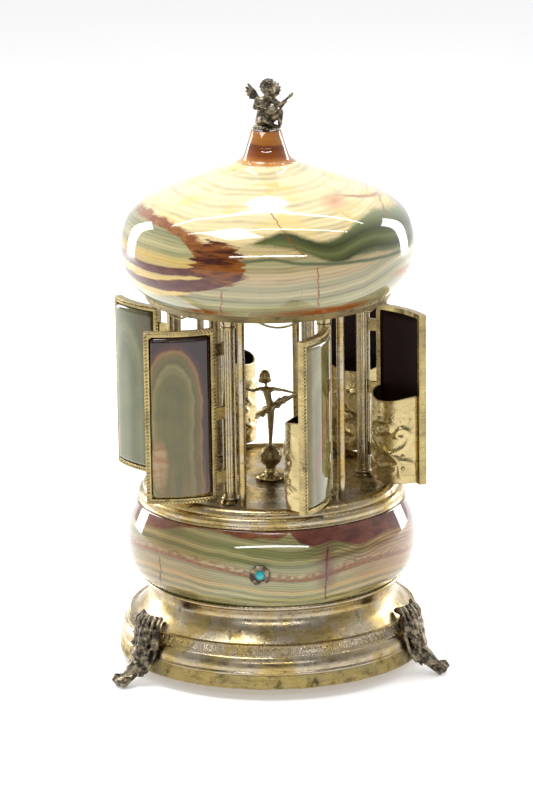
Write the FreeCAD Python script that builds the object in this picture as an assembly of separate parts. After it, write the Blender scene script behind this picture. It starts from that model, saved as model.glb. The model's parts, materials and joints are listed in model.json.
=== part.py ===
"""Carousel music box: an onyx and gilt brass cigarette carousel with a turning ballerina.

Millimetres, +Z up. The origin is on the centre line at the level the three feet stand on.
Six doors hang on six turning columns. A gear inside the dome drives a gear sector on each
column, so turning the dome closes and opens all the doors together. The spring barrel of
the musical movement carries the ballerina, and the side button lifts a brake off the governor.
"""
import FreeCAD, Part
import math
import os

V = FreeCAD.Vector
UP = V(0, 0, 1)
ORIGIN = V(0, 0, 0)

# ---- driving dimensions -------------------------------------------------------------
BAYS = 6
BAY_ANGLE = 360.0 / BAYS
FIRST_COLUMN_AZIMUTH = -115.0      # column of door 1, measured from +X towards +Y
COLUMN_CIRCLE = 47.0               # radius of the circle the columns stand on
DOOR_OPEN_TURN = 33.7              # how far an open door leans out from the tangent
DOOR_CORNER = V(54.0, -4.6, 0)     # hinge edge of an open door, seen from its bay

BASE_RADIUS = 77.2
BASE_BOTTOM = 5.5
LIP_RADIUS = 65.4
BASE_TOP = 44.2
SHEET = 1.2                        # wall of the stamped brass parts
DRUM_TOP = 83.2
DRUM_BORE = 58.0
RIM_RADIUS = 67.2
FLOOR_TOP = 91.2                   # the carousel floor the columns stand on
FLOOR_SHEET = 1.8
CEILING = 186.0                    # underside of the top plate
CEILING_SHEET = 1.6
TOP_PLATE_RADIUS = 58.4
DOME_SEAT = 189.1
FINIAL_SEAT = 253.2
CHERUB_SEAT = 268.9
CHERUB_TOP = 294.4

COLUMN_RADIUS = 3.4
FLUTES = 10
PIVOT_RADIUS = 1.5
PIVOT_PLAY = 0.05
END_GAP = 0.3                      # between a turning column and the plates
POST_CIRCLE = 50.0
POST_LEAD = 9.0                    # degrees a post stands ahead of its column
POST_RADIUS = 1.9

DOOR_BOTTOM = 94.3
DOOR_TOP = 180.5
DOOR_WIDTH = 33.8                  # across the chord
DOOR_CURVE = 50.0                  # radius the door is bent to
FRAME_INNER = 48.2
FRAME_OUTER = 51.8
FRAME_BORDER = 2.4
PANEL_BACK = 49.9
PANEL_FACE = 52.9
LINING_FACE = 49.1
POCKET_HALF_WIDTH = 14.8
POCKET_DEPTH = 13.0
POCKET_WALL = 0.8
POCKET_TOP = 139.5
POCKET_DIP = 3.5

DRIVE_TEETH = 60
SECTOR_TEETH = 30                  # a full wheel's count; only the working arc is cut
GEAR_MODULE = 2 * COLUMN_CIRCLE / (DRIVE_TEETH + SECTOR_TEETH)
SECTOR_REACH = 48.0                # degrees of teeth each side of the middle of the swing
DOOR_SWING = 53.0                  # open to closed
GEAR_BOTTOM = 188.7
GEAR_THICK = 2.4
BACKLASH = 0.16

BUTTON_AZIMUTH = -94.7
BUTTON_HEIGHT = 62.7
BUTTON_TRAVEL = 2.5

PLATE_BOTTOM = 16.0                # recessed bottom plate
BED_BOTTOM = 24.0
BED_THICK = 2.5
BARREL_RADIUS = 15.0
BARREL_TOP = 40.0
CROWN_TEETH = 36
CROWN_RADIUS = 16.0
PINION_TEETH = 12
TOOTH_DEPTH = 1.1
FOOT_AZIMUTHS = {"foot_front_left": -145.0, "foot_front_right": -25.0, "foot_rear": 95.0}
FELT_CIRCLE = 90.5                 # radius of the circle of the felt studs under the toes
FELT_RADIUS = 1.6
FELT_DEPTH = 2.2


# ---- helpers ------------------------------------------------------------------------
def polar(radius, degrees, z=0.0):
    a = math.radians(degrees)
    return V(radius * math.cos(a), radius * math.sin(a), z)


def rz(radius, z):
    """A point of a lathe outline."""
    return V(radius, 0, z)


def line(p, q):
    return Part.LineSegment(p, q).toShape()


def arc(p, middle, q):
    return Part.Arc(p, middle, q).toShape()


def spline(points):
    curve = Part.BSplineCurve()
    curve.interpolate(points)
    return curve.toShape()


def lathe(edges):
    """Turns a closed outline in the XZ plane about the Z axis."""
    face = Part.Face(Part.Wire(edges))
    return face.revolve(ORIGIN, UP, 360)


def lathe_polygon(points):
    points = [rz(*p) for p in points]
    return lathe([line(a, b) for a, b in zip(points, points[1:] + points[:1])])


def rod(radius, bottom, top, at=ORIGIN):
    return Part.makeCylinder(radius, top - bottom, V(at.x, at.y, bottom), UP)


def tube(inner, outer, bottom, top, at=ORIGIN):
    return rod(outer, bottom, top, at).cut(rod(inner, bottom - 1, top + 1, at))


def sector(inner, outer, start, end, bottom, top):
    """A slice of a pipe wall about the Z axis, between two angles in degrees."""
    middle = (start + end) / 2
    a, b = polar(inner, start, bottom), polar(outer, start, bottom)
    c, d = polar(outer, end, bottom), polar(inner, end, bottom)
    edges = [line(a, b), arc(b, polar(outer, middle, bottom), c),
             line(c, d), arc(d, polar(inner, middle, bottom), a)]
    return Part.Face(Part.Wire(edges)).extrude(V(0, 0, top - bottom))


def box(low, high):
    return Part.makeBox(high.x - low.x, high.y - low.y, high.z - low.z, low)


def ball(centre, radii, tilt_axis=V(0, 1, 0), tilt=0.0):
    """An ellipsoid: a unit ball stretched, tilted, then placed."""
    matrix = FreeCAD.Matrix()
    matrix.scale(*radii)
    shape = Part.makeSphere(1.0).transformGeometry(matrix)
    shape.rotate(ORIGIN, tilt_axis, tilt)
    shape.translate(centre)
    return shape


def limb(p, q, start_radius, end_radius):
    """A tapered limb with rounded ends."""
    along = q - p
    if abs(start_radius - end_radius) < 1e-6:
        shaft = Part.makeCylinder(start_radius, along.Length, p, along)
    else:
        shaft = Part.makeCone(start_radius, end_radius, along.Length, p, along)
    return shaft.fuse([Part.makeSphere(start_radius, p), Part.makeSphere(end_radius, q)])


def merged(shapes):
    return shapes[0].fuse(shapes[1:]).removeSplitter()


def merged_in_turn(shapes):
    """One fuse at a time, which keeps a figure of many rounded pieces valid."""
    whole = shapes[0]
    for shape in shapes[1:]:
        whole = whole.fuse(shape)
    return whole.removeSplitter()


def placed_in_bay(shape, index):
    return shape.rotated(ORIGIN, UP, FIRST_COLUMN_AZIMUTH + BAY_ANGLE * index)


def door_half_angle():
    return math.degrees(math.asin(DOOR_WIDTH / 2 / DOOR_CURVE))


def hung_on_column(shape):
    """Carries a piece of a door, drawn about the Z axis, to its open place beside the column."""
    corner = FreeCAD.Rotation(UP, DOOR_OPEN_TURN).multVec(polar(DOOR_CURVE, door_half_angle()))
    shape = shape.rotated(ORIGIN, UP, DOOR_OPEN_TURN)
    return shape.translated(DOOR_CORNER - corner)


def save(name, *solids):
    shape = solids[0] if len(solids) == 1 else Part.makeCompound(list(solids))
    for solid in shape.Solids:
        if not solid.isValid() or solid.Volume <= 0:
            print("check", name, solid.isValid(), solid.Volume)
    if not shape.Solids:
        print("no solid in", name)
    shape.exportStep(os.path.join("parts", name + ".step"))


# ---- base ---------------------------------------------------------------------------
def base_outline_edges():
    """The outer face of the stamped base, from its lower edge up to the lip."""
    shoulder = [rz(69.2, 26.6), rz(66.6, 29.0), rz(63.0, 32.6), rz(61.2, 37.0), rz(62.2, 41.0)]
    return [
        line(rz(BASE_RADIUS, BASE_BOTTOM), rz(76.5, 13.0)),
        arc(rz(76.5, 13.0), rz(76.9, 13.7), rz(76.2, 14.3)),
        arc(rz(76.2, 14.3), rz(76.0, 17.8), rz(74.4, 20.6)),
        line(rz(74.4, 20.6), rz(73.6, 21.0)),
        line(rz(73.6, 21.0), rz(71.9, 25.0)),
        arc(rz(71.9, 25.0), rz(71.4, 26.0), rz(70.4, 25.9)),
        line(rz(70.4, 25.9), rz(69.2, 26.6)),
        spline(shoulder),
        line(rz(62.2, 41.0), rz(64.4, 41.9)),
        arc(rz(64.4, 41.9), rz(LIP_RADIUS, 43.1), rz(64.4, BASE_TOP)),
    ]


def base_body():
    """The base as a full block, for the shell and for trimming the feet."""
    top, bottom = rz(0, BASE_TOP), rz(0, BASE_BOTTOM)
    closing = [line(rz(64.4, BASE_TOP), top), line(top, bottom), line(bottom, rz(BASE_RADIUS, BASE_BOTTOM))]
    return lathe(base_outline_edges() + closing)


def base_shell():
    hollow = lathe_polygon([
        (0, BASE_BOTTOM - 1), (76.0, BASE_BOTTOM - 1), (75.2, 13.5), (73.2, 19.6), (70.6, 24.3),
        (67.6, 26.2), (65.0, 28.6), (61.4, 32.2), (59.8, 37.0), (60.6, 42.9), (0, 42.9)])
    opening = rod(55.0, BASE_TOP - 3, BASE_TOP + 1)
    shell = base_body().cut(hollow.fuse(opening))
    for azimuth in FOOT_AZIMUTHS.values():
        shell = shell.cut(foot_screw_hole(azimuth, 1.3))
    return shell


def foot_screw_hole(azimuth, radius):
    return Part.makeCylinder(radius, 16, polar(66, azimuth, 17.0), polar(1, azimuth))


def foot(azimuth):
    """A cast scroll foot: a leaf against the base, running down to an outward toe."""
    side = [rz(68.0, 33.6), rz(73.5, 34.0), rz(79.0, 29.5), rz(82.0, 21.0), rz(84.6, 12.0), rz(90.0, 5.0),
            rz(96.2, 3.4), rz(96.4, 0.0), rz(85.0, 0.0), rz(80.5, 3.6), rz(78.2, 8.2), rz(68.0, 11.0)]
    slab = Part.Face(Part.Wire([line(a, b) for a, b in zip(side, side[1:] + side[:1])]))
    slab = slab.extrude(V(0, 22, 0))
    slab.translate(V(0, -11, 0))
    plan = [V(60, 10.8, -1), V(81, 10.8, -1), V(88, 6.0, -1), V(98, 5.4, -1),
            V(98, -5.4, -1), V(88, -6.0, -1), V(81, -10.8, -1), V(60, -10.8, -1)]
    taper = Part.Face(Part.Wire([line(a, b) for a, b in zip(plan, plan[1:] + plan[:1])]))
    casting = slab.common(taper.extrude(V(0, 0, 40)))
    casting = casting.rotated(ORIGIN, UP, azimuth).cut(base_body())
    casting = casting.cut(foot_screw_hole(azimuth, 1.0).common(rod(79.5, 10, 25)))
    return casting.cut(rod(FELT_RADIUS, -1, FELT_DEPTH, polar(FELT_CIRCLE, azimuth)))


def bottom_plate():
    plate = tube(4.2, 70.8, PLATE_BOTTOM, PLATE_BOTTOM + SHEET)
    for p in tie_bolt_places():
        plate = plate.cut(rod(1.7, PLATE_BOTTOM - 1, PLATE_BOTTOM + 3, p))
    return plate


def tie_bolt_places():
    return [polar(52.0, azimuth + BAY_ANGLE) for azimuth in FOOT_AZIMUTHS.values()]


# ---- onyx drum and carousel floor ---------------------------------------------------
def button_axis():
    return polar(1, BUTTON_AZIMUTH)


def button_bore(radius, start, length):
    return Part.makeCylinder(radius, length, polar(start, BUTTON_AZIMUTH, BUTTON_HEIGHT), button_axis())


def onyx_drum():
    bulge = spline([
        rz(64.6, BASE_TOP + 0.1), rz(70.4, 50.6), rz(72.6, 60.8), rz(71.5, 72.0), rz(67.0, DRUM_TOP)])
    inside = [rz(DRUM_BORE, DRUM_TOP), rz(DRUM_BORE, BASE_TOP + 0.1)]
    drum = lathe([bulge, line(rz(67.0, DRUM_TOP), inside[0]), line(*inside),
                  line(inside[1], rz(64.6, BASE_TOP + 0.1))])
    return drum.cut(button_bore(4.05, 50, 30)).cut(button_bore(5.3, 71.9, 5))


def button_bezel():
    ring = button_bore(5.2, 71.9, 1.6).cut(button_bore(3.0, 70, 5))
    for k in range(8):
        notch = Part.makeCylinder(0.7, 4, V(0, 0, 0), UP)
        notch.translate(V(5.5, 0, -1))
        notch.rotate(ORIGIN, UP, 45 * k)
        notch.rotate(ORIGIN, V(0, 1, 0), 90)
        notch.rotate(ORIGIN, UP, BUTTON_AZIMUTH)
        notch.translate(polar(71.9, BUTTON_AZIMUTH, BUTTON_HEIGHT))
        ring = ring.cut(notch)
    sleeve = button_bore(4.0, 57.0, 14.9).cut(button_bore(3.0, 58.2, 20)).cut(button_bore(1.45, 50, 30))
    return merged([ring, sleeve])


def carousel_floor():
    skirt_inside = 64.0
    edges = [
        arc(rz(66.6, 83.4), rz(RIM_RADIUS, 84.1), rz(66.7, 84.8)),
        arc(rz(66.7, 84.8), rz(66.5, 87.2), rz(64.9, 88.7)),
        line(rz(64.9, 88.7), rz(64.1, 89.3)),
        arc(rz(64.1, 89.3), rz(63.2, 91.9), rz(60.6, 92.9)),
        arc(rz(60.6, 92.9), rz(59.8, 92.7), rz(59.4, 92.0)),
        line(rz(59.4, 92.0), rz(59.0, FLOOR_TOP)),
        line(rz(59.0, FLOOR_TOP), rz(0, FLOOR_TOP)),
        line(rz(0, FLOOR_TOP), rz(0, FLOOR_TOP - FLOOR_SHEET)),
        line(rz(0, FLOOR_TOP - FLOOR_SHEET), rz(59.6, FLOOR_TOP - FLOOR_SHEET)),
        line(rz(59.6, FLOOR_TOP - FLOOR_SHEET), rz(skirt_inside - 1.6, 87.0)),
        line(rz(skirt_inside - 1.6, 87.0), rz(skirt_inside, 83.4)),
        line(rz(skirt_inside, 83.4), rz(66.6, 83.4)),
    ]
    floor = lathe(edges)
    locating_ring = tube(DRUM_BORE - 2.0, DRUM_BORE - 0.2, 79.0, FLOOR_TOP - 1)
    bosses = [rod(3.5, FLOOR_TOP - 4.5, FLOOR_TOP - 1, p) for p in tie_bolt_places()]
    floor = merged([floor, locating_ring] + bosses)
    floor = floor.cut(rod(1.65, FLOOR_TOP - 5, FLOOR_TOP + 1))
    for k in range(BAYS):
        angle = FIRST_COLUMN_AZIMUTH + BAY_ANGLE * k
        floor = floor.cut(rod(PIVOT_RADIUS + PIVOT_PLAY, 80, 100, polar(COLUMN_CIRCLE, angle)))
        floor = floor.cut(rod(1.2, 80, 100, polar(POST_CIRCLE, angle + POST_LEAD)))
    for p in tie_bolt_places():
        floor = floor.cut(rod(1.5, 80, FLOOR_TOP - 1.2, p))
    return floor


def posts():
    """Six plain pillars that carry the top plate, tapped at both ends."""
    found = []
    for k in range(BAYS):
        place = polar(POST_CIRCLE, FIRST_COLUMN_AZIMUTH + BAY_ANGLE * k + POST_LEAD)
        pillar = rod(POST_RADIUS, FLOOR_TOP, CEILING, place)
        for bottom in (FLOOR_TOP, CEILING - 6):
            pillar = pillar.cut(rod(1.2, bottom - 0.1, bottom + 6.1, place))
        found.append(pillar)
    return found


def top_plate():
    plate = tube(2.6, TOP_PLATE_RADIUS, CEILING, CEILING + CEILING_SHEET)
    for k in range(BAYS):
        angle = FIRST_COLUMN_AZIMUTH + BAY_ANGLE * k
        plate = plate.cut(rod(PIVOT_RADIUS + PIVOT_PLAY, 180, 190, polar(COLUMN_CIRCLE, angle)))
        plate = plate.cut(rod(1.2, 180, 190, polar(POST_CIRCLE, angle + POST_LEAD)))
    return plate


def pivot_stud():
    """The fixed stud the dome turns on, riveted to the top plate, with its clip."""
    stud = merged([
        rod(2.6, CEILING, CEILING + CEILING_SHEET),
        rod(6.0, CEILING + CEILING_SHEET, GEAR_BOTTOM - 0.1),
        rod(4.0, GEAR_BOTTOM - 0.1, 196.0)])
    groove = tube(3.4, 5.0, 194.2, 194.9)
    clip = tube(3.45, 5.4, 194.25, 194.85)
    return stud.cut(groove), clip


def swags():
    """A short garland of twisted wire in each bay, soldered under the top plate."""
    depth, half_span = 3.6, 10.5
    sag_radius = (half_span ** 2 + depth ** 2) / (2 * depth)
    wire = Part.makeTorus(sag_radius, 0.6, ORIGIN, V(1, 0, 0))
    wire.translate(V(55.0, 0, CEILING - depth + sag_radius))
    wire = wire.common(box(V(50, -20, CEILING - 20), V(60, 20, CEILING)))
    return [placed_in_bay(wire.rotated(ORIGIN, UP, BAY_ANGLE / 2), k) for k in range(BAYS)]


# ---- columns and doors --------------------------------------------------------------
def column():
    """A fluted column with its base and capital; it is the door's hinge, on two pins."""
    foot_level = FLOOR_TOP + END_GAP
    head_level = CEILING - END_GAP
    place = V(COLUMN_CIRCLE, 0, 0)
    shaft = rod(COLUMN_RADIUS, foot_level + 3.6, head_level - 5.2, place)
    for k in range(FLUTES):
        spot = place + polar(COLUMN_RADIUS + 0.25, 360.0 / FLUTES * k)
        shaft = shaft.cut(rod(0.72, foot_level + 5.0, head_level - 6.6, spot))
    plinth = rod(5.0, foot_level, foot_level + 1.5, place)
    torus = Part.makeTorus(3.5, 0.9, V(COLUMN_CIRCLE, 0, foot_level + 2.3), UP)
    neck = rod(3.5, foot_level + 1.5, foot_level + 3.7, place)
    bell = Part.makeCone(COLUMN_RADIUS, 4.6, 3.8, V(COLUMN_CIRCLE, 0, head_level - 5.2), UP)
    abacus = rod(4.9, head_level - 1.4, head_level, place)
    astragal = Part.makeTorus(3.4, 0.5, V(COLUMN_CIRCLE, 0, head_level - 5.6), UP)
    pins = [rod(PIVOT_RADIUS, FLOOR_TOP - 3.0, foot_level + 1, place),
            rod(PIVOT_RADIUS, head_level - 1, GEAR_BOTTOM + GEAR_THICK + 0.6, place)]
    return merged([shaft, plinth, torus, neck, bell, abacus, astragal, gear_sector()] + pins)


def door_inset(border):
    """The angle that a border of that width takes at the door's own radius."""
    return math.degrees(border / PANEL_BACK)


def door_frame():
    """The bent frame with its recesses for the panel and the lining, and its three lugs."""
    half = door_half_angle()
    inner_half = half - door_inset(FRAME_BORDER)
    frame = sector(FRAME_INNER, FRAME_OUTER, -half, half, DOOR_BOTTOM, DOOR_TOP)
    low, high = DOOR_BOTTOM + FRAME_BORDER, DOOR_TOP - FRAME_BORDER
    frame = frame.cut(sector(PANEL_BACK, FRAME_OUTER + 1, -inner_half, inner_half, low, high))
    frame = frame.cut(sector(FRAME_INNER - 1, LINING_FACE, -inner_half, inner_half, low, high))
    frame = hung_on_column(frame)
    reach = DOOR_CORNER - V(COLUMN_CIRCLE, 0, 0)
    lean = math.degrees(math.atan2(reach.y, reach.x))
    for level in (DOOR_BOTTOM + 8, (DOOR_BOTTOM + DOOR_TOP) / 2 - 3, DOOR_TOP - 14):
        lug = box(V(COLUMN_RADIUS - 0.7, -0.8, level), V(reach.Length + 0.3, 0.8, level + 6))
        lug = lug.rotated(ORIGIN, UP, lean).translated(V(COLUMN_CIRCLE, 0, 0))
        frame = frame.fuse(lug)
    return frame.removeSplitter().cut(rod(COLUMN_RADIUS, 90, 190, V(COLUMN_CIRCLE, 0, 0)))


def onyx_panel():
    half = door_half_angle() - door_inset(FRAME_BORDER) - 0.08
    low, high = DOOR_BOTTOM + FRAME_BORDER + 0.08, DOOR_TOP - FRAME_BORDER - 0.08
    slab = sector(PANEL_BACK + 0.02, PANEL_FACE, -half, half, low, high)
    rim = [e for e in slab.Edges if all(abs(math.hypot(v.X, v.Y) - PANEL_FACE) < 0.01 for v in e.Vertexes)]
    return hung_on_column(slab.makeFillet(1.1, rim))


def half_oval(half_width, depth, bottom, top, centre_x):
    """Half an elliptic cylinder that bulges towards -X from the plane x = centre_x."""
    major, minor = max(half_width, depth), min(half_width, depth)
    curve = Part.Ellipse(ORIGIN, major, minor)
    face = Part.Face(Part.Wire([curve.toShape()]))
    oval = face.extrude(V(0, 0, top - bottom))
    if half_width > depth:
        oval.rotate(ORIGIN, UP, 90)
    oval.translate(V(centre_x, 0, bottom))
    side = box(V(centre_x - 2 * major, -2 * major, bottom - 1), V(centre_x, 2 * major, top + 1))
    return oval.common(side)


def cigarette_holder():
    """An oval pocket on the inside of the door, with a floor and a dipped rim."""
    bottom = DOOR_BOTTOM + 0.9
    plane = 45.8
    outer = half_oval(POCKET_HALF_WIDTH, POCKET_DEPTH, bottom, POCKET_TOP, plane)
    inner = half_oval(POCKET_HALF_WIDTH - POCKET_WALL, POCKET_DEPTH - POCKET_WALL,
                      bottom + POCKET_WALL, POCKET_TOP + 5, plane)
    pocket = outer.cut(inner)
    dip_radius = (POCKET_HALF_WIDTH ** 2 + POCKET_DIP ** 2) / (2 * POCKET_DIP)
    dip = Part.makeCylinder(dip_radius, 40, V(20, 0, POCKET_TOP + dip_radius - POCKET_DIP), V(1, 0, 0))
    pocket = pocket.cut(dip).cut(sector(FRAME_INNER, FRAME_OUTER, -30, 30, DOOR_BOTTOM - 1, DOOR_TOP))
    return hung_on_column(pocket)


# ---- gears --------------------------------------------------------------------------
def involute_flank(base_radius, outer_radius, root_radius, steps=5):
    """Radius and unwound angle at points along one flank, from the root to the tip."""
    start = max(root_radius, base_radius)
    found = [(root_radius, 0.0)] if root_radius < base_radius - 1e-6 else []
    for k in range(steps):
        radius = start + (outer_radius - start) * k / (steps - 1)
        pressure = math.acos(min(1.0, base_radius / radius))
        found.append((radius, math.tan(pressure) - pressure))
    return found


def gear_wheel(teeth, module, thickness, first_tooth, kept=None):
    """An involute spur wheel. Tooth 0 is centred on first_tooth degrees; kept picks the teeth cut."""
    pitch = teeth * module / 2
    base = pitch * math.cos(math.radians(20))
    outer, root = pitch + module * 0.9, pitch - module * 1.2
    at_pitch = math.acos(base / pitch)
    half_tooth = (math.pi * module / 2 - BACKLASH) / 2 / pitch + math.tan(at_pitch) - at_pitch
    flank = involute_flank(base, outer, root)
    points = []
    for k in (range(teeth) if kept is None else kept):
        centre = math.radians(first_tooth + 360.0 / teeth * k)
        left = [(r, centre - half_tooth + a) for r, a in flank]
        right = [(r, centre + half_tooth - a) for r, a in reversed(flank)]
        points += left + right
    corners = [V(r * math.cos(a), r * math.sin(a), 0) for r, a in points]
    if kept is not None:
        corners.append(V(0, 0, 0))
    outline = [line(p, q) for p, q in zip(corners, corners[1:] + corners[:1])]
    return Part.Face(Part.Wire(outline)).extrude(V(0, 0, thickness))


def drive_gear():
    """The wheel under the dome, with its hub round the pivot stud."""
    wheel = gear_wheel(DRIVE_TEETH, GEAR_MODULE, GEAR_THICK, 0.0)
    wheel.translate(V(0, 0, GEAR_BOTTOM))
    hub = rod(9.0, GEAR_BOTTOM, 193.6)
    gear = merged([wheel, hub]).cut(rod(4.0 + PIVOT_PLAY, 180, 200))
    for k in range(4):
        spot = polar(7.0, 90 * k)
        gear = gear.cut(rod(0.8, 190, 194, spot))
    return gear.rotated(ORIGIN, UP, FIRST_COLUMN_AZIMUTH)


def gear_sector():
    """The toothed sector brazed to a column's upper pin. It meets the drive gear through the swing."""
    pitch_angle = 360.0 / SECTOR_TEETH
    middle = 180.0 + DOOR_SWING / 2
    first = 180.0 + pitch_angle / 2
    lowest = round((middle - SECTOR_REACH - first) / pitch_angle)
    highest = round((middle + SECTOR_REACH - first) / pitch_angle)
    plate = gear_wheel(SECTOR_TEETH, GEAR_MODULE, GEAR_THICK, first, range(lowest, highest + 1))
    piece = plate.fuse(rod(3.6, 0, GEAR_THICK))
    piece.translate(V(COLUMN_CIRCLE, 0, GEAR_BOTTOM))
    return piece


# ---- dome ---------------------------------------------------------------------------
def dome_ring():
    """The gilt ring that carries the onyx dome and hides the edge of the top plate."""
    return lathe_polygon([
        (59.0, CEILING - 0.3), (60.4, CEILING - 0.3), (61.9, DOME_SEAT - 0.6), (61.8, DOME_SEAT),
        (53.5, DOME_SEAT), (53.5, DOME_SEAT - 1.1), (59.0, DOME_SEAT - 1.1)])


def onyx_dome():
    outside = spline([
        rz(61.7, DOME_SEAT), rz(67.4, 194.4), rz(71.6, 201.5), rz(72.9, 210.5), rz(71.4, 220.5),
        rz(67.4, 228.4), rz(58.6, 234.9), rz(45.0, 240.8), rz(31.5, 246.2), rz(20.5, 250.2),
        rz(14.5, FINIAL_SEAT)])
    inside = spline([
        rz(5.0, 244.5), rz(22.0, 242.0), rz(44.0, 233.5), rz(59.0, 224.5), rz(65.0, 211.0),
        rz(56.6, DOME_SEAT)])
    dome = lathe([
        outside, line(rz(14.5, FINIAL_SEAT), rz(2.7, FINIAL_SEAT)),
        line(rz(2.7, FINIAL_SEAT), rz(2.7, 244.5)),
        line(rz(2.7, 244.5), rz(5.0, 244.5)), inside, line(rz(56.6, DOME_SEAT), rz(61.7, DOME_SEAT))])
    return dome


def onyx_finial():
    flare = spline([rz(14.5, FINIAL_SEAT), rz(12.0, 255.0), rz(10.4, 258.4), rz(9.5, 261.6)])
    return lathe([
        flare, line(rz(9.5, 261.6), rz(7.4, CHERUB_SEAT)), line(rz(7.4, CHERUB_SEAT), rz(2.2, CHERUB_SEAT)),
        line(rz(2.2, CHERUB_SEAT), rz(2.2, FINIAL_SEAT)), line(rz(2.2, FINIAL_SEAT), rz(14.5, FINIAL_SEAT))])


def dome_cross_bar():
    """The flat bar under the dome that joins the drive gear's hub to the ring."""
    level = 193.6
    bar = box(V(-55.6, -9, level), V(55.6, 9, level + 1.6))
    feet = [box(V(x - 0.8, -5, DOME_SEAT), V(x + 0.8, 5, level + 0.5)) for x in (-54.8, 54.8)]
    return merged([bar] + feet).cut(rod(6.0, level - 1, level + 3))


def tie_rod():
    """The rod through the dome and finial, screwed into a cup over the cross bar, with its nut."""
    cup = tube(6.0, 7.2, 195.2, 199.0)
    crown = rod(7.2, 199.0, 200.4)
    spindle = rod(2.0, 200.0, CHERUB_SEAT + 1.6)
    flange = tube(5.9, 9.0, 195.2, 196.2)
    nut = rod(4.4, 241.7, 244.5).cut(rod(2.0, 240, 246))
    return merged([cup, crown, spindle, flange]), nut


def cherub():
    """A small cast cherub that sits on a mound and plays a lute."""
    z = CHERUB_SEAT
    head = CHERUB_TOP - z - 21.4
    pieces = [
        rod(6.5, z, z + 1.4),
        ball(V(0, 0, z + 1.9), (5.8, 5.8, 1.5)),
        ball(V(-0.6, 0.4, z + 5.8), (4.7, 4.0, 4.3)),
        ball(V(-0.3, 0.3, z + 10.8), (4.4, 3.4, 5.2)),
        limb(V(0.4, 0, z + 14.6), V(1.2, -0.5, z + 17.6), 1.8, 1.7),
        ball(V(1.5, -0.8, z + 21.4), (4.0, 4.1, head)),
        limb(V(-2.6, -1.4, z + 4.6), V(-1.2, -5.2, z + 6.0), 2.3, 1.8),
        limb(V(-1.2, -5.2, z + 6.0), V(5.0, -5.0, z + 3.2), 1.7, 1.2),
        limb(V(2.0, -1.4, z + 5.0), V(7.0, -3.0, z + 9.4), 2.1, 1.6),
        limb(V(7.0, -3.0, z + 9.4), V(7.8, -3.4, z + 3.4), 1.5, 1.1),
        limb(V(-3.6, -0.2, z + 15.4), V(-5.0, -1.8, z + 12.4), 1.5, 1.4),
        limb(V(-5.0, -1.8, z + 12.4), V(2.0, -4.8, z + 10.8), 1.25, 0.9),
        limb(V(3.8, -0.6, z + 14.2), V(7.4, -2.8, z + 12.2), 1.5, 1.2),
        limb(V(7.4, -2.8, z + 12.2), V(10.0, -4.6, z + 14.6), 1.2, 1.0),
        ball(V(3.4, -4.8, z + 10.4), (3.6, 1.7, 2.6), V(0, 1, 0), -38),
        limb(V(5.4, -4.8, z + 12.0), V(12.6, -4.9, z + 17.8), 0.95, 0.95),
        ball(V(-6.4, 2.6, z + 18.0), (2.0, 1.1, 4.4), V(0, 1, 0), -38),
        ball(V(4.6, 3.6, z + 17.4), (2.0, 1.1, 4.2), V(0, 1, 0), 30),
        limb(V(-2.6, 2.0, z + 14.2), V(-5.4, 2.6, z + 16.4), 0.9, 0.9),
        limb(V(1.4, 2.0, z + 14.2), V(4.2, 3.4, z + 16.4), 0.9, 0.9),
    ]
    return merged_in_turn(pieces).cut(rod(2.0, z - 1, z + 1.6))


# ---- button, movement and ballerina -------------------------------------------------
def button_plunger():
    """The brass plunger: a head in the sleeve, and a long stem with a clip behind the sleeve's end."""
    head = button_bore(2.9, 70.2, 2.0)
    stem = button_bore(1.4, 53.8, 17.0)
    clip = button_bore(2.4, 56.0, 0.7)
    return merged([head, stem, clip])


def button_cap():
    """The turquoise cabochon set in the plunger's head."""
    girdle, rise, half_width = 0.4, 1.3, 2.4
    round_radius = (half_width ** 2 + rise ** 2) / (2 * rise)
    seat = 72.2 + girdle
    centre = polar(seat + rise - round_radius, BUTTON_AZIMUTH, BUTTON_HEIGHT)
    stone = Part.makeSphere(round_radius, centre).common(button_bore(3.0, seat, 4.0))
    return merged([button_bore(half_width, 72.2, girdle), stone])


def button_spring():
    """The return spring on the stem, as the sleeve it fills."""
    return button_bore(2.5, 58.3, 11.8).cut(button_bore(1.8, 50, 30))


def movement_bedplate():
    plate = box(V(-20, -22, BED_BOTTOM), V(50, 26, BED_BOTTOM + BED_THICK)).cut(rod(2.05, 20, 30))
    legs = []
    for x, y in ((-15, -17), (-15, 21), (42, 0)):
        legs.append(rod(2.6, PLATE_BOTTOM + SHEET, BED_BOTTOM, V(x, y, 0)))
    top = BED_BOTTOM + BED_THICK
    bearings = [box(V(x, -3, top), V(x + 1.2, 3, 49.0)) for x in (18.4, 47.0)]
    bed = merged([plate] + legs + bearings)
    axle_hole = Part.makeCylinder(1.05, 40, V(17, 0, cylinder_height()), V(1, 0, 0))
    return bed.cut(axle_hole)


def pinion_pitch_radius():
    return CROWN_RADIUS * PINION_TEETH / CROWN_TEETH


def cylinder_height():
    return BARREL_TOP + TOOTH_DEPTH / 2 + pinion_pitch_radius() + 0.1


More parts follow.
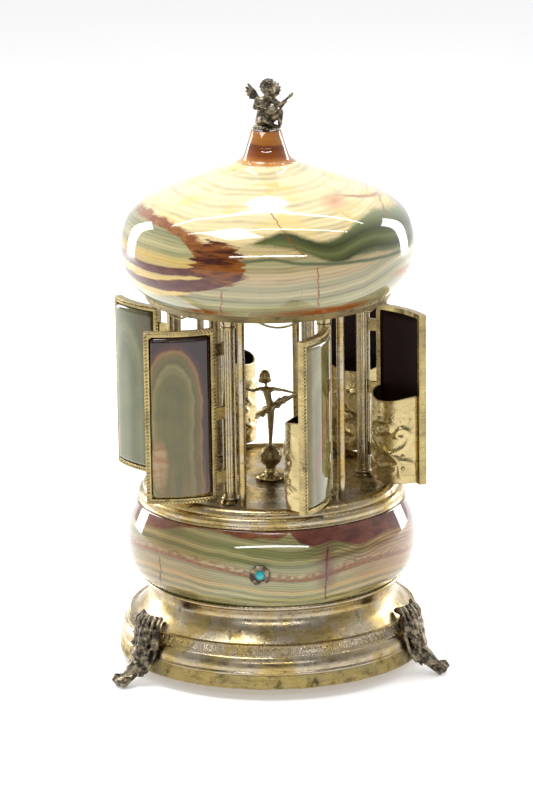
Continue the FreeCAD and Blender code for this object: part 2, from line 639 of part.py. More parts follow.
def spring_barrel():
    """The mainspring barrel with its crown of teeth, and the spindle up to the ballerina."""
    case = rod(BARREL_RADIUS, 29.0, BARREL_TOP)
    crown = tube(BARREL_RADIUS - 0.5, CROWN_RADIUS + 1.0, BARREL_TOP - 2.6, BARREL_TOP)
    width = 0.36 * 2 * math.pi * CROWN_RADIUS / CROWN_TEETH
    teeth = []
    for k in range(CROWN_TEETH):
        tooth = box(V(CROWN_RADIUS - 1.0, -width / 2, BARREL_TOP - 0.2),
                    V(CROWN_RADIUS + 1.0, width / 2, BARREL_TOP + TOOTH_DEPTH))
        teeth.append(tooth.rotated(ORIGIN, UP, 360.0 / CROWN_TEETH * k))
    spindle = merged([rod(4.0, BARREL_TOP - 1, 43.0), rod(1.6, 42.0, FLOOR_TOP + 2.6)])
    hollow = rod(2.1, 28.0, 38.0)
    return merged([case, crown, spindle] + teeth).cut(hollow)


def music_cylinder():
    """The pinned cylinder on its axle, with the pinion that rides on the barrel's crown."""
    z = cylinder_height()
    along = V(1, 0, 0)
    barrel = Part.makeCylinder(6.3, 24.0, V(21.5, 0, z), along)
    axle = Part.makeCylinder(1.0, 34.6, V(14.0, 0, z), along)
    pitch = pinion_pitch_radius()
    core = Part.makeCylinder(pitch - TOOTH_DEPTH / 2 - 0.1, 2.4, V(14.8, 0, z), along)
    width = 0.30 * 2 * math.pi * pitch / PINION_TEETH
    teeth = []
    for k in range(PINION_TEETH):
        tooth = box(V(15.2, -width / 2, pitch - 1.2), V(17.0, width / 2, pitch + TOOTH_DEPTH / 2))
        tooth.rotate(ORIGIN, along, 360.0 / PINION_TEETH * (k + 0.5))
        tooth.translate(V(0, 0, z))
        teeth.append(tooth)
    pins = []
    for row in range(18):
        for turn in range(3):
            pin = Part.makeCylinder(0.25, 0.9, V(23.0 + row * 1.2, 0, 6.0), UP)
            pin.rotate(ORIGIN, along, row * 97 + turn * 113)
            pin.translate(V(0, 0, z))
            pins.append(pin)
    return merged([barrel, axle, core] + teeth + pins)


def tone_comb():
    """A steel comb of eighteen teeth on its block, reaching almost to the cylinder's pins."""
    z = cylinder_height()
    block = box(V(21.8, 16, BED_BOTTOM + BED_THICK), V(45.6, 25, z - 0.5))
    comb = box(V(21.8, 7.6, z - 0.5), V(45.6, 25, z + 0.7))
    for k in range(17):
        x = 23.6 + k * 1.2
        comb = comb.cut(box(V(x - 0.14, 7, z - 1), V(x + 0.14, 16, z + 1)))
    return merged([block, comb])


GOVERNOR_AT = V(38, -15, 0)


def governor_block():
    block = box(V(32, -20, BED_BOTTOM + BED_THICK), V(44, -9.5, 40))
    return block.cut(rod(1.25, 27, 41, GOVERNOR_AT))


def governor_fan():
    """The governor's fast shaft with its brake disc and two air vanes."""
    shaft = rod(1.2, 29, 51, GOVERNOR_AT)
    disc = rod(4.0, 41.0, 42.4, GOVERNOR_AT)
    vanes = box(V(-5.5, -0.4, 44), V(5.5, 0.4, 50))
    vanes.translate(GOVERNOR_AT)
    return merged([shaft, disc, vanes])


LEVER_PIVOT = V(10, -46, 0)
LEVER_LEVEL = 61.5


def stop_lever():
    """The brake lever: the button's stem bears on one arm, the other brakes the governor disc."""
    hub = rod(2.4, 41.0, LEVER_LEVEL + 2.4, LEVER_PIVOT)
    push_end = polar(52.6, BUTTON_AZIMUTH)
    arm = push_end - V(LEVER_PIVOT.x, LEVER_PIVOT.y, 0)
    push_arm = box(V(0, -0.8, LEVER_LEVEL), V(arm.Length + 1.0, 0.8, LEVER_LEVEL + 2.4))
    push_arm.rotate(ORIGIN, UP, math.degrees(math.atan2(arm.y, arm.x)))
    push_arm.translate(LEVER_PIVOT)
    reach = GOVERNOR_AT - LEVER_PIVOT
    brake_arm = box(V(0, -0.8, 41.0), V(reach.Length - 4.4, 0.8, 42.4))
    brake_arm.rotate(ORIGIN, UP, math.degrees(math.atan2(reach.y, reach.x)))
    brake_arm.translate(LEVER_PIVOT)
    return merged([hub, push_arm, brake_arm]).cut(rod(1.25, 30, 70, LEVER_PIVOT))


def lever_post():
    """A shouldered post that the stop lever turns on, hung from the carousel floor."""
    return merged([rod(1.2, 40.0, FLOOR_TOP - FLOOR_SHEET, LEVER_PIVOT), rod(2.6, 38.6, 40.4, LEVER_PIVOT),
                   rod(2.6, LEVER_LEVEL + 3.0, FLOOR_TOP - FLOOR_SHEET, LEVER_PIVOT)])


def winding_key():
    """The butterfly key in the recess under the base, on the arbor that winds the spring."""
    arbor = rod(2.0, 8.0, 36.0)
    boss = rod(3.6, 6.5, 14.5)
    wings = []
    for side in (-1, 1):
        wing = Part.makeCylinder(6.0, 1.6, V(side * 8.0, -0.8, 10.5), V(0, 1, 0))
        eye = Part.makeCylinder(2.6, 4.0, V(side * 8.6, -2.0, 10.5), V(0, 1, 0))
        wings.append(wing.cut(eye).common(box(V(-20, -5, 6.0), V(20, 5, 15.0))))
    return merged([arbor, boss] + wings)


def ballerina():
    """A ballerina on a ball and a stepped stand; she stands on one leg with the other raised."""
    z = FLOOR_TOP + 0.3
    across = V(0, 1, 0)
    pieces = [
        rod(7.2, z, z + 1.8),
        rod(5.2, z + 1.8, z + 3.4),
        rod(2.6, z + 3.0, z + 6.6),
        Part.makeSphere(5.75, V(0, 0, z + 11.6)),
        limb(V(0, 0, z + 16.6), V(0.3, 0, z + 26.4), 1.0, 1.3),
        limb(V(0.3, 0, z + 26.4), V(0.4, 0, z + 34.4), 1.3, 1.9),
        ball(V(0.8, 0, z + 37.0), (8.8, 6.6, 2.0), across, -30),
        limb(V(0.6, 0, z + 36.0), V(-1.2, 0, z + 44.8), 2.2, 2.6),
        limb(V(-1.2, 0, z + 46.0), V(-1.9, 0, z + 50.0), 1.2, 1.1),
        ball(V(-2.3, 0.1, z + 53.4), (3.3, 3.1, 3.9)),
        limb(V(-3.4, 0, z + 46.6), V(-12.6, 0.4, z + 47.2), 1.1, 0.8),
        limb(V(1.0, 0, z + 46.6), V(13.6, -0.6, z + 44.6), 1.1, 0.8),
        limb(V(2.6, 0, z + 38.0), V(10.0, -0.4, z + 42.4), 1.7, 1.2),
        limb(V(10.0, -0.4, z + 42.4), V(18.0, -0.6, z + 46.6), 1.2, 0.7),
    ]
    return merged_in_turn(pieces).cut(rod(1.6, z - 1, FLOOR_TOP + 2.6))


# ---- fasteners ----------------------------------------------------------------------
def screws():
    """All fasteners: post screws, foot screws, the three tie bolts and the gear screws."""
    found = []
    for k in range(BAYS):
        place = polar(POST_CIRCLE, FIRST_COLUMN_AZIMUTH + BAY_ANGLE * k + POST_LEAD)
        below, above = FLOOR_TOP - FLOOR_SHEET, CEILING + CEILING_SHEET
        found.append(merged([rod(2.0, below - 1.2, below, place), rod(1.15, below, below + 6.0, place)]))
        found.append(merged([rod(1.9, above, above + 0.7, place), rod(1.15, above - 6.0, above, place)]))
    for azimuth in FOOT_AZIMUTHS.values():
        out = polar(1, azimuth)
        head = Part.makeCylinder(2.2, 1.4, polar(71.2, azimuth, 17.0), out)
        shank = Part.makeCylinder(0.95, 6.2, polar(72.4, azimuth, 17.0), out)
        found.append(merged([head, shank]))
    for place in tie_bolt_places():
        found.append(merged([rod(3.0, PLATE_BOTTOM - 2.0, PLATE_BOTTOM, place),
                             rod(1.45, PLATE_BOTTOM - 0.5, FLOOR_TOP - 1.4, place)]))
    return found


def main():
    os.makedirs("parts", exist_ok=True)
    save("base_shell", base_shell())
    save("bottom_plate", bottom_plate())
    for name, azimuth in FOOT_AZIMUTHS.items():
        save(name, foot(azimuth))
    save("onyx_drum", onyx_drum())
    save("button_bezel", button_bezel())
    save("carousel_floor", carousel_floor())
    save("posts", *posts())
    save("top_plate", top_plate())
    save("pivot_stud", *pivot_stud())
    save("garlands", *swags())
    save("screws", *screws())
    save("dome_ring", dome_ring())
    save("onyx_dome", onyx_dome())
    save("onyx_finial", onyx_finial())
    save("dome_cross_bar", dome_cross_bar())
    save("tie_rod", *tie_rod())
    save("drive_gear", drive_gear())
    save("cherub", cherub())
    door_pieces = {"column": column(), "door_frame": door_frame(),
                   "onyx_panel": onyx_panel(), "cigarette_holder": cigarette_holder()}
    for name, piece in door_pieces.items():
        for k in range(BAYS):
            save(f"{name}_{k + 1}", placed_in_bay(piece, k))
    save("button_plunger", button_plunger())
    save("button_cap", button_cap())
    save("button_spring", button_spring())
    save("stop_lever", stop_lever())
    save("lever_post", lever_post())
    save("movement_bedplate", movement_bedplate())
    save("spring_barrel", spring_barrel())
    save("music_cylinder", music_cylinder())
    save("tone_comb", tone_comb())
    save("governor_block", governor_block())
    save("governor_fan", governor_fan())
    save("winding_key", winding_key())
    save("ballerina", ballerina())


main()
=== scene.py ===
"""Looks of the carousel music box.

Blender works in metres. Meshes and materials here are drawn in millimetres, in the frame of the record.
"""
import json
import math
import random

import bmesh
import bpy
import numpy as np
from mathutils import Matrix, Vector


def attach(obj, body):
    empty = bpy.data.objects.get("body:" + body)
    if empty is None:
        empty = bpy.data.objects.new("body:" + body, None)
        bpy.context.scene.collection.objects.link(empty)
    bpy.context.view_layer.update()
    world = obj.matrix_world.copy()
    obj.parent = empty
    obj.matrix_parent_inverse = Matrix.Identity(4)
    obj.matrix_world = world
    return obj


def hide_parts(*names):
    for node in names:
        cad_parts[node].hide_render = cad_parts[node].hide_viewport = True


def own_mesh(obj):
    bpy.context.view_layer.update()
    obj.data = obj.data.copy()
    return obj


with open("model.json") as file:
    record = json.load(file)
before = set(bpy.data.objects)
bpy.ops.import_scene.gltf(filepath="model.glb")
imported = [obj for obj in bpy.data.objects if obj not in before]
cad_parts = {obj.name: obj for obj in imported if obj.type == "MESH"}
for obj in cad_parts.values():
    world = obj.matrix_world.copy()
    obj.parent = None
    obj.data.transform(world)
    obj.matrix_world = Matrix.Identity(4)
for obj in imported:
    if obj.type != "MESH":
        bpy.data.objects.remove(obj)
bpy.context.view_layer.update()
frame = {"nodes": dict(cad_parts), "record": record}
MM = 0.001

# ---- layout, as in the CAD model ----------------------------------------------------
BAYS = 6
BASE_RADIUS = 76.0
BAY_ANGLE = 60.0
FIRST_COLUMN_AZIMUTH = -115.0
DOOR_OPEN_TURN = 33.7
DOOR_CORNER = (54.0, -4.6)
DOOR_WIDTH, DOOR_CURVE = 33.8, 50.0
DOOR_BOTTOM, DOOR_TOP = 94.3, 180.5
FRAME_BORDER, FRAME_OUTER, LINING_FACE = 2.4, 51.8, 49.1
PANEL_BACK, PANEL_FACE = 49.9, 52.9
POCKET_PLANE, POCKET_HALF_WIDTH, POCKET_DEPTH, POCKET_WALL = 45.8, 14.8, 13.0, 0.8
POCKET_BOTTOM, POCKET_TOP, POCKET_DIP = DOOR_BOTTOM + 0.9, 139.5, 3.5
FLOOR_TOP, CEILING, DOME_SEAT, FINIAL_SEAT, CHERUB_SEAT = 91.2, 186.0, 189.1, 253.2, 268.9
BUTTON_AZIMUTH, BUTTON_HEIGHT, BUTTON_TRAVEL = -94.7, 62.7, 2.5
FOOT_AZIMUTHS = {"foot_front_left": -145.0, "foot_front_right": -25.0, "foot_rear": 95.0}
DOOR_HALF_ANGLE = math.asin(DOOR_WIDTH / 2 / DOOR_CURVE)


# ---- shader nodes -------------------------------------------------------------------
class Value:
    """A shader output that takes part in sums."""

    def __init__(self, shader, socket):
        self.shader, self.socket = shader, socket

    def __add__(self, other):
        return self.shader.math("ADD", self, other)

    def __sub__(self, other):
        return self.shader.math("SUBTRACT", self, other)

    def __mul__(self, other):
        return self.shader.math("MULTIPLY", self, other)

    def __truediv__(self, other):
        return self.shader.math("DIVIDE", self, other)

    def __pow__(self, other):
        return self.shader.math("POWER", self, other)

    def __abs__(self):
        return self.shader.math("ABSOLUTE", self)

    def fit(self, low, high, to_low=0.0, to_high=1.0):
        """Carries low..high over to to_low..to_high, and goes no further at either end."""
        node = self.shader.nodes.new("ShaderNodeMapRange")
        for socket, number in zip(node.inputs[:5], (self, low, high, to_low, to_high)):
            self.shader.feed(socket, number)
        return Value(self.shader, node.outputs[0])

    def fade(self, low, high):
        """1 at low and below, 0 at high and above."""
        return self.fit(low, high, 1.0, 0.0)

    def ramp(self, stops, kind="LINEAR"):
        node = self.shader.nodes.new("ShaderNodeValToRGB")
        node.color_ramp.interpolation = kind
        elements = node.color_ramp.elements
        while len(elements) < len(stops):
            elements.new(0.5)
        for element, (position, colour) in zip(elements, stops):
            element.position = position
            element.color = (*colour, 1.0) if isinstance(colour, tuple) else (colour, colour, colour, 1.0)
        self.shader.feed(node.inputs[0], self)
        return Value(self.shader, node.outputs[0])

    def curve(self, *points):
        """A smooth curve through (place, height) points; it stays level past its ends."""
        places, heights = zip(*points)
        low, high = min(heights), max(heights)
        first, last = places[0], places[-1]
        stops = [((place - first) / (last - first), (height - low) / (high - low)) for place,
            height in points]
        return self.fit(first, last).ramp(stops, "CARDINAL").fit(0.0, 1.0, low, high)


class Shader:
    """A material with short calls for the nodes used here. Coordinates are in millimetres."""

    def __init__(self, name):
        self.material = bpy.data.materials.new(name)
        self.material.use_nodes = True
        self.nodes = self.material.node_tree.nodes
        self.links = self.material.node_tree.links
        self.surface = next(n for n in self.nodes if n.type == "BSDF_PRINCIPLED")
        texture = self.nodes.new("ShaderNodeTexCoord")
        self.place = self.vector("SCALE", Value(self, texture.outputs["Object"]), scale=1000.0)
        split = self.nodes.new("ShaderNodeSeparateXYZ")
        self.feed(split.inputs[0], self.place)
        self.x, self.y, self.z = (Value(self, output) for output in split.outputs)

    def feed(self, socket, value):
        if isinstance(value, Value):
            self.links.new(value.socket, socket)
        elif isinstance(value, tuple) and len(value) == 3 and socket.type == "RGBA":
            socket.default_value = (*value, 1.0)
        else:
            socket.default_value = value

    def math(self, kind, a, b=0.0):
        node = self.nodes.new("ShaderNodeMath")
        node.operation = kind
        self.feed(node.inputs[0], a)
        self.feed(node.inputs[1], b)
        return Value(self, node.outputs[0])

    def vector(self, kind, a, b=(0.0, 0.0, 0.0), scale=1.0):
        node = self.nodes.new("ShaderNodeVectorMath")
        node.operation = kind
        self.feed(node.inputs[0], a)
        self.feed(node.inputs[1], b)
        if kind == "SCALE":
            self.feed(node.inputs["Scale"], scale)
        return Value(self, node.outputs["Value" if kind in ("LENGTH", "DOT_PRODUCT") else "Vector"])

    def noise(self, size, detail=4.0, roughness=0.55, place=None, distortion=0.0):
        """Noise of that grain size in millimetres, from 0 to 1."""
        node = self.nodes.new("ShaderNodeTexNoise")
        self.feed(node.inputs["Vector"], place or self.place)
        node.inputs["Scale"].default_value = 1.0 / size
        node.inputs["Detail"].default_value = detail
        node.inputs["Roughness"].default_value = roughness
        node.inputs["Distortion"].default_value = distortion
        return Value(self, node.outputs["Fac"])

    def cells(self, size):
        node = self.nodes.new("ShaderNodeTexVoronoi")
        self.feed(node.inputs["Vector"], self.place)
        node.inputs["Scale"].default_value = 1.0 / size
        return Value(self, node.outputs["Distance"])

    def stretched(self, x, y, z):
        return self.vector("MULTIPLY", self.place, (x, y, z))

    def mix(self, factor, a, b, kind="MIX"):
        node = self.nodes.new("ShaderNodeMix")
        node.data_type, node.blend_type = "RGBA", kind
        self.feed(node.inputs[0], factor)
        self.feed(node.inputs[6], a)
        self.feed(node.inputs[7], b)
        return Value(self, node.outputs[2])

    def bump(self, height, depth):
        """Bump of that depth in millimetres, stacked on what is there already."""
        node = self.nodes.new("ShaderNodeBump")
        node.inputs["Strength"].default_value = 1.0
        node.inputs["Distance"].default_value = depth * MM
        self.feed(node.inputs["Height"], height)
        normal = self.surface.inputs["Normal"]
        if normal.is_linked:
            self.links.new(normal.links[0].from_socket, node.inputs["Normal"])
        self.links.new(node.outputs[0], normal)

    def set(self, **values):
        for name, value in values.items():
            self.feed(self.surface.inputs[name.replace("_", " ")], value)


# ---- stone --------------------------------------------------------------------------
CREAM, PALE, YELLOW, STRAW = (0.72, 0.58, 0.31), (0.42, 0.38, 0.20), (0.70, 0.50, 0.15), (0.50, 0.38, 0.17)
SAGE, OLIVE, MOSS = (0.19, 0.20, 0.095), (0.085, 0.098, 0.020), (0.040, 0.050, 0.010)
RUST, DARK_RUST, MAROON = (0.23, 0.065, 0.008), (0.055, 0.009, 0.003), (0.085, 0.017, 0.011)
FRONT_EDGE = 6.0


def polished_stone(shader, colour):
    shader.set(Base_Color=colour, Roughness=0.06, Coat_Weight=0.5, Coat_Roughness=0.03)
    shader.set(Subsurface_Weight=0.06, Subsurface_Radius=(0.006, 0.004, 0.002), Subsurface_Scale=0.4)
    return shader.material


def layers(shader, level, low, high, stops, fine=1.9, depth=0.5):
    """Stone laid down in layers across level, with fine darker and lighter lines between the broad ones."""
    broad = level.fit(low, high).ramp(stops)
    jitter = shader.noise(7.0, 2.0, place=shader.stretched(0.2, 0.2, 1.0)) * 5.0
    lines = shader.math("SINE", level * (2 * math.pi / fine) + jitter)
    thin = shader.math("SINE", level * (2 * math.pi / (fine * 2.7)))
    strength = shader.noise(14.0).fit(0.35, 0.65, 0.3 * depth, depth)
    tint = (lines + thin).fit(-2.0,
        2.0).ramp([(0.0, (0.42, 0.42, 0.30)), (0.5, (0.92, 0.90, 0.82)), (1.0, (1.35, 1.30, 1.12))])
    return shader.mix(strength, broad, tint, "MULTIPLY")


def ragged(shader, grain, amount, stretch=(0.5, 0.5, 1.6)):
    """Noise of that many millimetres either way, for edges that aren't smooth."""
    return (shader.noise(grain, 5.0, 0.65, shader.stretched(*stretch)) - 0.5) * (2.0 * amount)


def patch(shader, centre, radii, wobble, grain=9.0):
    """How far a point is from an oval patch's centre: under 1 inside it, with a ragged outline."""
    offset = shader.vector("DIVIDE", shader.vector("SUBTRACT", shader.place, centre), radii)
    rough = shader.noise(grain, 5.0, 0.6, shader.stretched(0.5, 0.5, 1.5)) - 0.5
    return shader.vector("LENGTH", offset) + rough * (wobble * 2)


def band(shader, colour, middle, half, tint, edge=0.5, rough=0.6, gate=None):
    """Lays a stripe over the stone, about the height middle and half its thickness either way."""
    height = shader.z + ragged(shader, 4.0, rough)
    cover = (abs(height - middle) - half).fade(-edge, edge)
    return shader.mix(cover * gate if gate else cover, colour, tint)


def above(shader, colour, edge_height, tint, soft=0.5, rough=1.2):
    """Lays another stone over everything above a wavy edge."""
    height = shader.z + ragged(shader, 6.0, rough)
    return shader.mix((height - edge_height).fit(-soft, soft), colour, tint)


def crack(shader, colour, at, low, high, lean=0.0, tint=RUST, width=0.5):
    """One thin crack up the front of the stone, at that x and between two heights."""
    wobble = (shader.noise(4.0, 4.0) - 0.5) * 3.0
    line = (shader.z - low) * lean + at
    cover = abs(shader.x - (line + wobble)).fit(0.15 * width, width, 0.9, 0.0)
    cover = cover * shader.z.fit(low, low + 2) * shader.z.fade(high - 2, high) * shader.y.fade(-5, 0)
    return shader.mix(cover, colour, tint)


def veins(shader, colour, size, width, tint):
    """Thin cracks, where a slow noise crosses its middle value."""
    slow = shader.noise(size, 3.0, 0.6, shader.stretched(1.0, 1.0, 0.45), 0.6)
    line = abs(slow - 0.5).fade(0.0, width)
    return shader.mix(line * shader.noise(30.0, 1.0).fit(0.48, 0.6), colour, tint)


def warped_height(shader, broad, fine, slope=0.0):
    """Height above the table, bent by slow noise as the layers of a stone are."""
    slow = (shader.noise(46.0, 2.0) - 0.5) * broad
    quick = (shader.noise(9.0, 4.0) - 0.5) * fine
    return shader.z + shader.x * slope + (slow + quick)


def blotch(shader, colour, centre, radii, tint, edge=0.25, wobble=0.35):
    """Lays a patch of another colour over the stone."""
    return shader.mix(patch(shader, centre, radii, wobble).fade(1.0 - edge, 1.0), colour, tint)


def mottled(shader, grain, a, b):
    cloud = shader.noise(grain, 5.0, 0.6, shader.stretched(0.6, 0.6, 1.5))
    return shader.mix(cloud.fit(0.42, 0.60), a, b)


def dome_stone():
    shader = Shader("onyx_of_the_dome")
    x, z = shader.x, shader.z
    rise = x.curve((-75, 1.0), (-20, 0.0), (6, 0.0), (46, 3.5), (60, 9.0), (75, 12.0))
    level = warped_height(shader, 3.0, 1.0) - rise
    colour = layers(shader, level, 188.0, 256.0, [
        (0.00, PALE), (0.05, (0.30, 0.29, 0.17)), (0.10, PALE), (0.15, (0.27, 0.26, 0.15)),
        (0.20, (0.46, 0.40, 0.24)), (0.26, (0.34, 0.32, 0.19)), (0.31, (0.56, 0.42, 0.24)),
        (0.37, (0.50, 0.40, 0.22)), (0.43, (0.40, 0.37, 0.20)), (0.48, STRAW), (0.56, CREAM),
        (0.66, (0.80, 0.66, 0.37)), (0.80, (0.84, 0.72, 0.44)), (1.0, (0.86, 0.74, 0.46))], depth=0.65)
    clouds = shader.noise(17.0, 4.0).fit(0.50, 0.66, 0.0, 0.8)
    colour = shader.mix(clouds * z.fit(226.0, 236.0), colour, (0.86, 0.62, 0.20))
    colour = green_bands(shader, colour, level, rise)
    colour = rust_eye(shader, colour, level)
    colour = blotch(shader, colour, (36, -60, 190.5), (44, 30, 4.0), (0.30, 0.085, 0.020), 0.6, 0.45)
    colour = blotch(shader, colour, (66, -26, 204.0), (14, 26, 2.6), (0.36, 0.15, 0.07), 0.7, 0.5)
    colour = blotch(shader, colour, (-32, -58, 191.0), (18, 20, 2.6), RUST, 0.7, 0.5)
    colour = blotch(shader, colour, (33, -34, 240), (9, 16, 4.4), (0.66, 0.34, 0.17), 0.9, 0.5)
    colour = blotch(shader, colour, (20, 62, 226), (40, 30, 9), OLIVE, 0.25, 0.45)
    colour = blotch(shader, colour, (-30, 58, 206), (38, 30, 5), RUST, 0.2, 0.6)
    colour = crack(shader, colour, 24.0, 193.0, 216.0)
    colour = crack(shader, colour, 19.0, 219.0, 244.0, -0.9)
    colour = crack(shader, colour, 70.0, 215.0, 243.0, -0.7, (0.30, 0.10, 0.05))
    colour = crack(shader, colour, -23.0, 190.0, 205.0, 0.05)
    colour = crack(shader, colour, 96.0, 228.0, 242.0, -4.6, (0.36, 0.14, 0.05), 2.2)
    return polished_stone(shader, veins(shader, colour, 30.0, 0.003, RUST))


def green_bands(shader, colour, level, rise):
    """The olive band that swings up to the right of the dome, and the thin sage line under it."""
    middle = shader.x.curve((-20, 225.8), (-6, 226.6), (5, 228.0), (14, 226.6), (24, 223.0), (33, 221.8),
                            (44, 225.2), (56, 225.5), (75, 221.5))
    half = shader.x.curve((-20, -1.5), (-7, 0.4), (5, 3.0), (14, 3.4), (24, 3.6), (33, 5.6),
                          (44, 7.4), (56, 8.4), (75, 7.0))
    olive = (level - (middle - rise)).fit(-9.0, 9.0).ramp([
        (0.0, SAGE), (0.20, MOSS), (0.32, OLIVE), (0.42, (0.15, 0.165, 0.055)), (0.50, OLIVE), (0.62, MOSS),
        (0.72, OLIVE), (0.84, (0.14, 0.17, 0.06)), (1.0, (0.24, 0.27, 0.13))])
    colour = band(shader, colour, middle, half, olive, 0.9, 1.4)
    sage = shader.x.curve((-24, 217.2), (-12, 218.2), (2, 219.6), (12, 217.6), (28, 216.0), (60, 214.5))
    return band(shader, colour, sage, 0.75, (0.13, 0.15, 0.075), 0.5, 0.5)


def rust_eye(shader, colour, level):
    """On the left of the dome's front, a rust ring round pale stripes, over two dark red stripes."""
    x, z = shader.x, shader.z
    front = shader.y.fade(-FRONT_EDGE, FRONT_EDGE)
    flat = shader.vector("MULTIPLY", shader.place, (1.0, 0.0, 1.0))

    def oval(centre, radii, rough):
        offset = shader.vector("DIVIDE", shader.vector("SUBTRACT", flat, centre), radii)
        return shader.vector("LENGTH", offset) + rough

    ring = oval((-60.0, 0.0, 214.5), (35.0, 1.0, 19.0), ragged(shader, 6.0, 0.13, (0.6, 0.6, 1.6)))
    pale = layers(shader, level, 206.0, 232.0, [
        (0.0, YELLOW), (0.22, STRAW), (0.36, YELLOW), (0.50, (0.36, 0.34, 0.17)),
        (0.64, (0.50, 0.45, 0.24)),
        (0.78, (0.25, 0.26, 0.13)), (1.0, (0.46, 0.40, 0.22))], fine=1.6, depth=0.6)
    colour = shader.mix(ring.fade(0.93, 0.97) * front, colour, pale)
    inner = x.curve((-75, 0.86), (-50, 0.80), (-38, 0.76), (-28, 0.66))
    rim = (ring - inner).fit(0.0, 0.05) * ring.fade(0.99, 1.05) * z.fit(212.0, 217.0) * front
    colour = shader.mix(rim, colour, mottled(shader, 3.5, RUST, (0.33, 0.13, 0.025)))
    red = mottled(shader, 5.0, MAROON, (0.14, 0.035, 0.016))
    left = x.fade(-24.0, -16.0) * front
    first = x.curve((-75, 213.0), (-60, 210.6), (-46, 211.0), (-30, 213.2), (-16, 214.5))
    colour = band(shader, colour, first, 2.0, red, 0.35, 0.7, left)
    colour = band(shader, colour, first - 3.6, 0.7, YELLOW, 0.5, 0.6, left)
    second = x.curve((-75, 205.5), (-60, 202.8), (-46, 203.9), (-32, 206.2), (-19, 209.6), (-8, 211.5))
    thick = x.curve((-75, 1.2), (-60, 2.2), (-46, 3.0), (-30, 3.3), (-18, 2.4), (-8, 0.6))
    colour = band(shader, colour, second, thick, red, 0.35, 0.8, x.fade(-14.0, -8.0) * front)
    core = oval((-24.0, 0.0, 217.0), (13.0, 1.0, 10.5), ragged(shader, 2.6, 0.75, (0.30, 0.30, 1.7)))
    strokes = shader.noise(4.0, 4.0, 0.6, shader.stretched(0.22, 0.22, 1.5))
    burnt = shader.mix(strokes.fit(0.44, 0.62), (0.27, 0.085, 0.012), DARK_RUST)
    return shader.mix(core.fade(0.92, 1.0) * front, colour, burnt)


def drum_stone():
    shader = Shader("onyx_of_the_drum")
    x, z = shader.x, shader.z
    line = x.curve((-72, 64.5), (-62, 67.2), (-48, 67.6), (-36, 66.0), (-22, 64.2), (-12, 62.2), (2, 60.2),
                   (15, 59.4), (27, 61.2), (38, 63.4), (49, 64.2), (60, 63.4), (72, 60.0))
    level = warped_height(shader, 3.0, 1.3) - (line - 63.0) * 0.8
    colour = layers(shader, level, 43.0, 85.0, [
        (0.00, OLIVE), (0.05, SAGE), (0.10, PALE), (0.15, (0.24, 0.25, 0.12)), (0.20, PALE),
        (0.25, (0.26, 0.26, 0.13)), (0.31, STRAW), (0.36, (0.24, 0.24, 0.12)), (0.41, PALE), (0.45, SAGE),
        (0.50, (0.40, 0.33, 0.17)), (0.57, (0.34, 0.31, 0.15)), (0.63, (0.17, 0.18, 0.07)),
        (0.70, (0.36, 0.33, 0.16)), (0.76, (0.15, 0.17, 0.06)), (0.84, (0.33, 0.31, 0.15)),
        (0.92, (0.22, 0.20, 0.09)), (1.0, PALE)], fine=1.25, depth=0.95)
    pink = x.fit(34.0, 66.0, 0.0, 0.55) * z.fit(50.0, 60.0)
    colour = shader.mix(pink, colour, mottled(shader, 8.0, (0.36, 0.17, 0.09), (0.48, 0.30, 0.17)))
    # Painted shade: the stone is multiplied darker and warmer towards the drum's left and right sides,
    # where it turns away from the front light.
    colour = shader.mix(abs(x).fit(16.0, 50.0, 0.0, 0.6), colour, (0.95, 0.62, 0.36), "MULTIPLY")
    faded = shader.noise(1.2, 3.0, place=shader.stretched(0.4, 0.4, 1.0)).fit(0.44, 0.56)
    colour = band(shader, colour, line + 1.6, 1.7, (0.24, 0.13, 0.045), 0.9, 0.9, faded)
    fuzz = mottled(shader, 1.6, (0.26, 0.10, 0.018), (0.17, 0.055, 0.010))
    half = x.curve((-72, 1.0), (-20, 0.8), (10, 0.75), (40, 1.2), (72, 0.9))
    colour = band(shader, colour, line, half, fuzz, 0.4, 0.5)
    colour = red_tops(shader, colour)
    haze = patch(shader, (27.0, -66.0, 64.0), (6.5, 16.0, 15.0), 0.5, 6.0)
    colour = shader.mix(haze.fit(0.2, 1.0, 0.7, 0.0), colour, (0.15, 0.050, 0.035))
    colour = crack(shader, colour, 26.0, 46.0, 76.0, 0.04, (0.10, 0.010, 0.008), 0.7)
    return polished_stone(shader, crack(shader, colour, -55.0, 46.0, 66.0, 0.0, MAROON))


def red_tops(shader, colour):
    """The maroon stone along the top of the drum, with wavy lines under its right part."""
    right = shader.x.curve((4, 86.0), (12, 79.0), (20, 75.6), (32, 76.8), (43, 73.0), (54, 75.2),
        (64, 74.6), (72, 72.6))
    below = right - shader.z
    wave = shader.math("SINE", below * 3.6).fit(0.2, 1.0, 0.0, 0.75)
    near = below.fade(6.5, 9.5) * shader.x.fit(6.0, 26.0)
    colour = shader.mix(wave * near, colour, (0.11, 0.045, 0.018))
    red = mottled(shader, 7.0, (0.17, 0.050, 0.028), (0.085, 0.020, 0.012))
    colour = above(shader, colour, right, red, rough=0.9)
    left = shader.x.curve((-72, 75.5), (-60, 77.2), (-50, 79.4), (-42, 81.6), (-30, 82.4), (-18, 80.6),
                          (-4, 79.8), (6, 80.6), (14, 86.0))
    brown = mottled(shader, 4.0, (0.13, 0.035, 0.016), (0.20, 0.070, 0.016))
    return above(shader, colour, left, brown, rough=1.6)


def finial_stone():
    shader = Shader("amber_onyx")
    colour = layers(shader, warped_height(shader, 4.0, 1.8, 0.08), 251.5, 269.5, [
        (0.0, (0.80, 0.52, 0.18)), (0.12, (0.62, 0.27, 0.06)), (0.28, (0.34, 0.095, 0.015)),
        (0.45, (0.22, 0.055, 0.006)), (0.58, (0.14, 0.032, 0.005)), (0.63, (0.36, 0.12, 0.015)),
        (0.75, (0.38, 0.14, 0.012)), (1.0, (0.34, 0.11, 0.010))], fine=2.4, depth=0.35)
    return polished_stone(shader, colour)


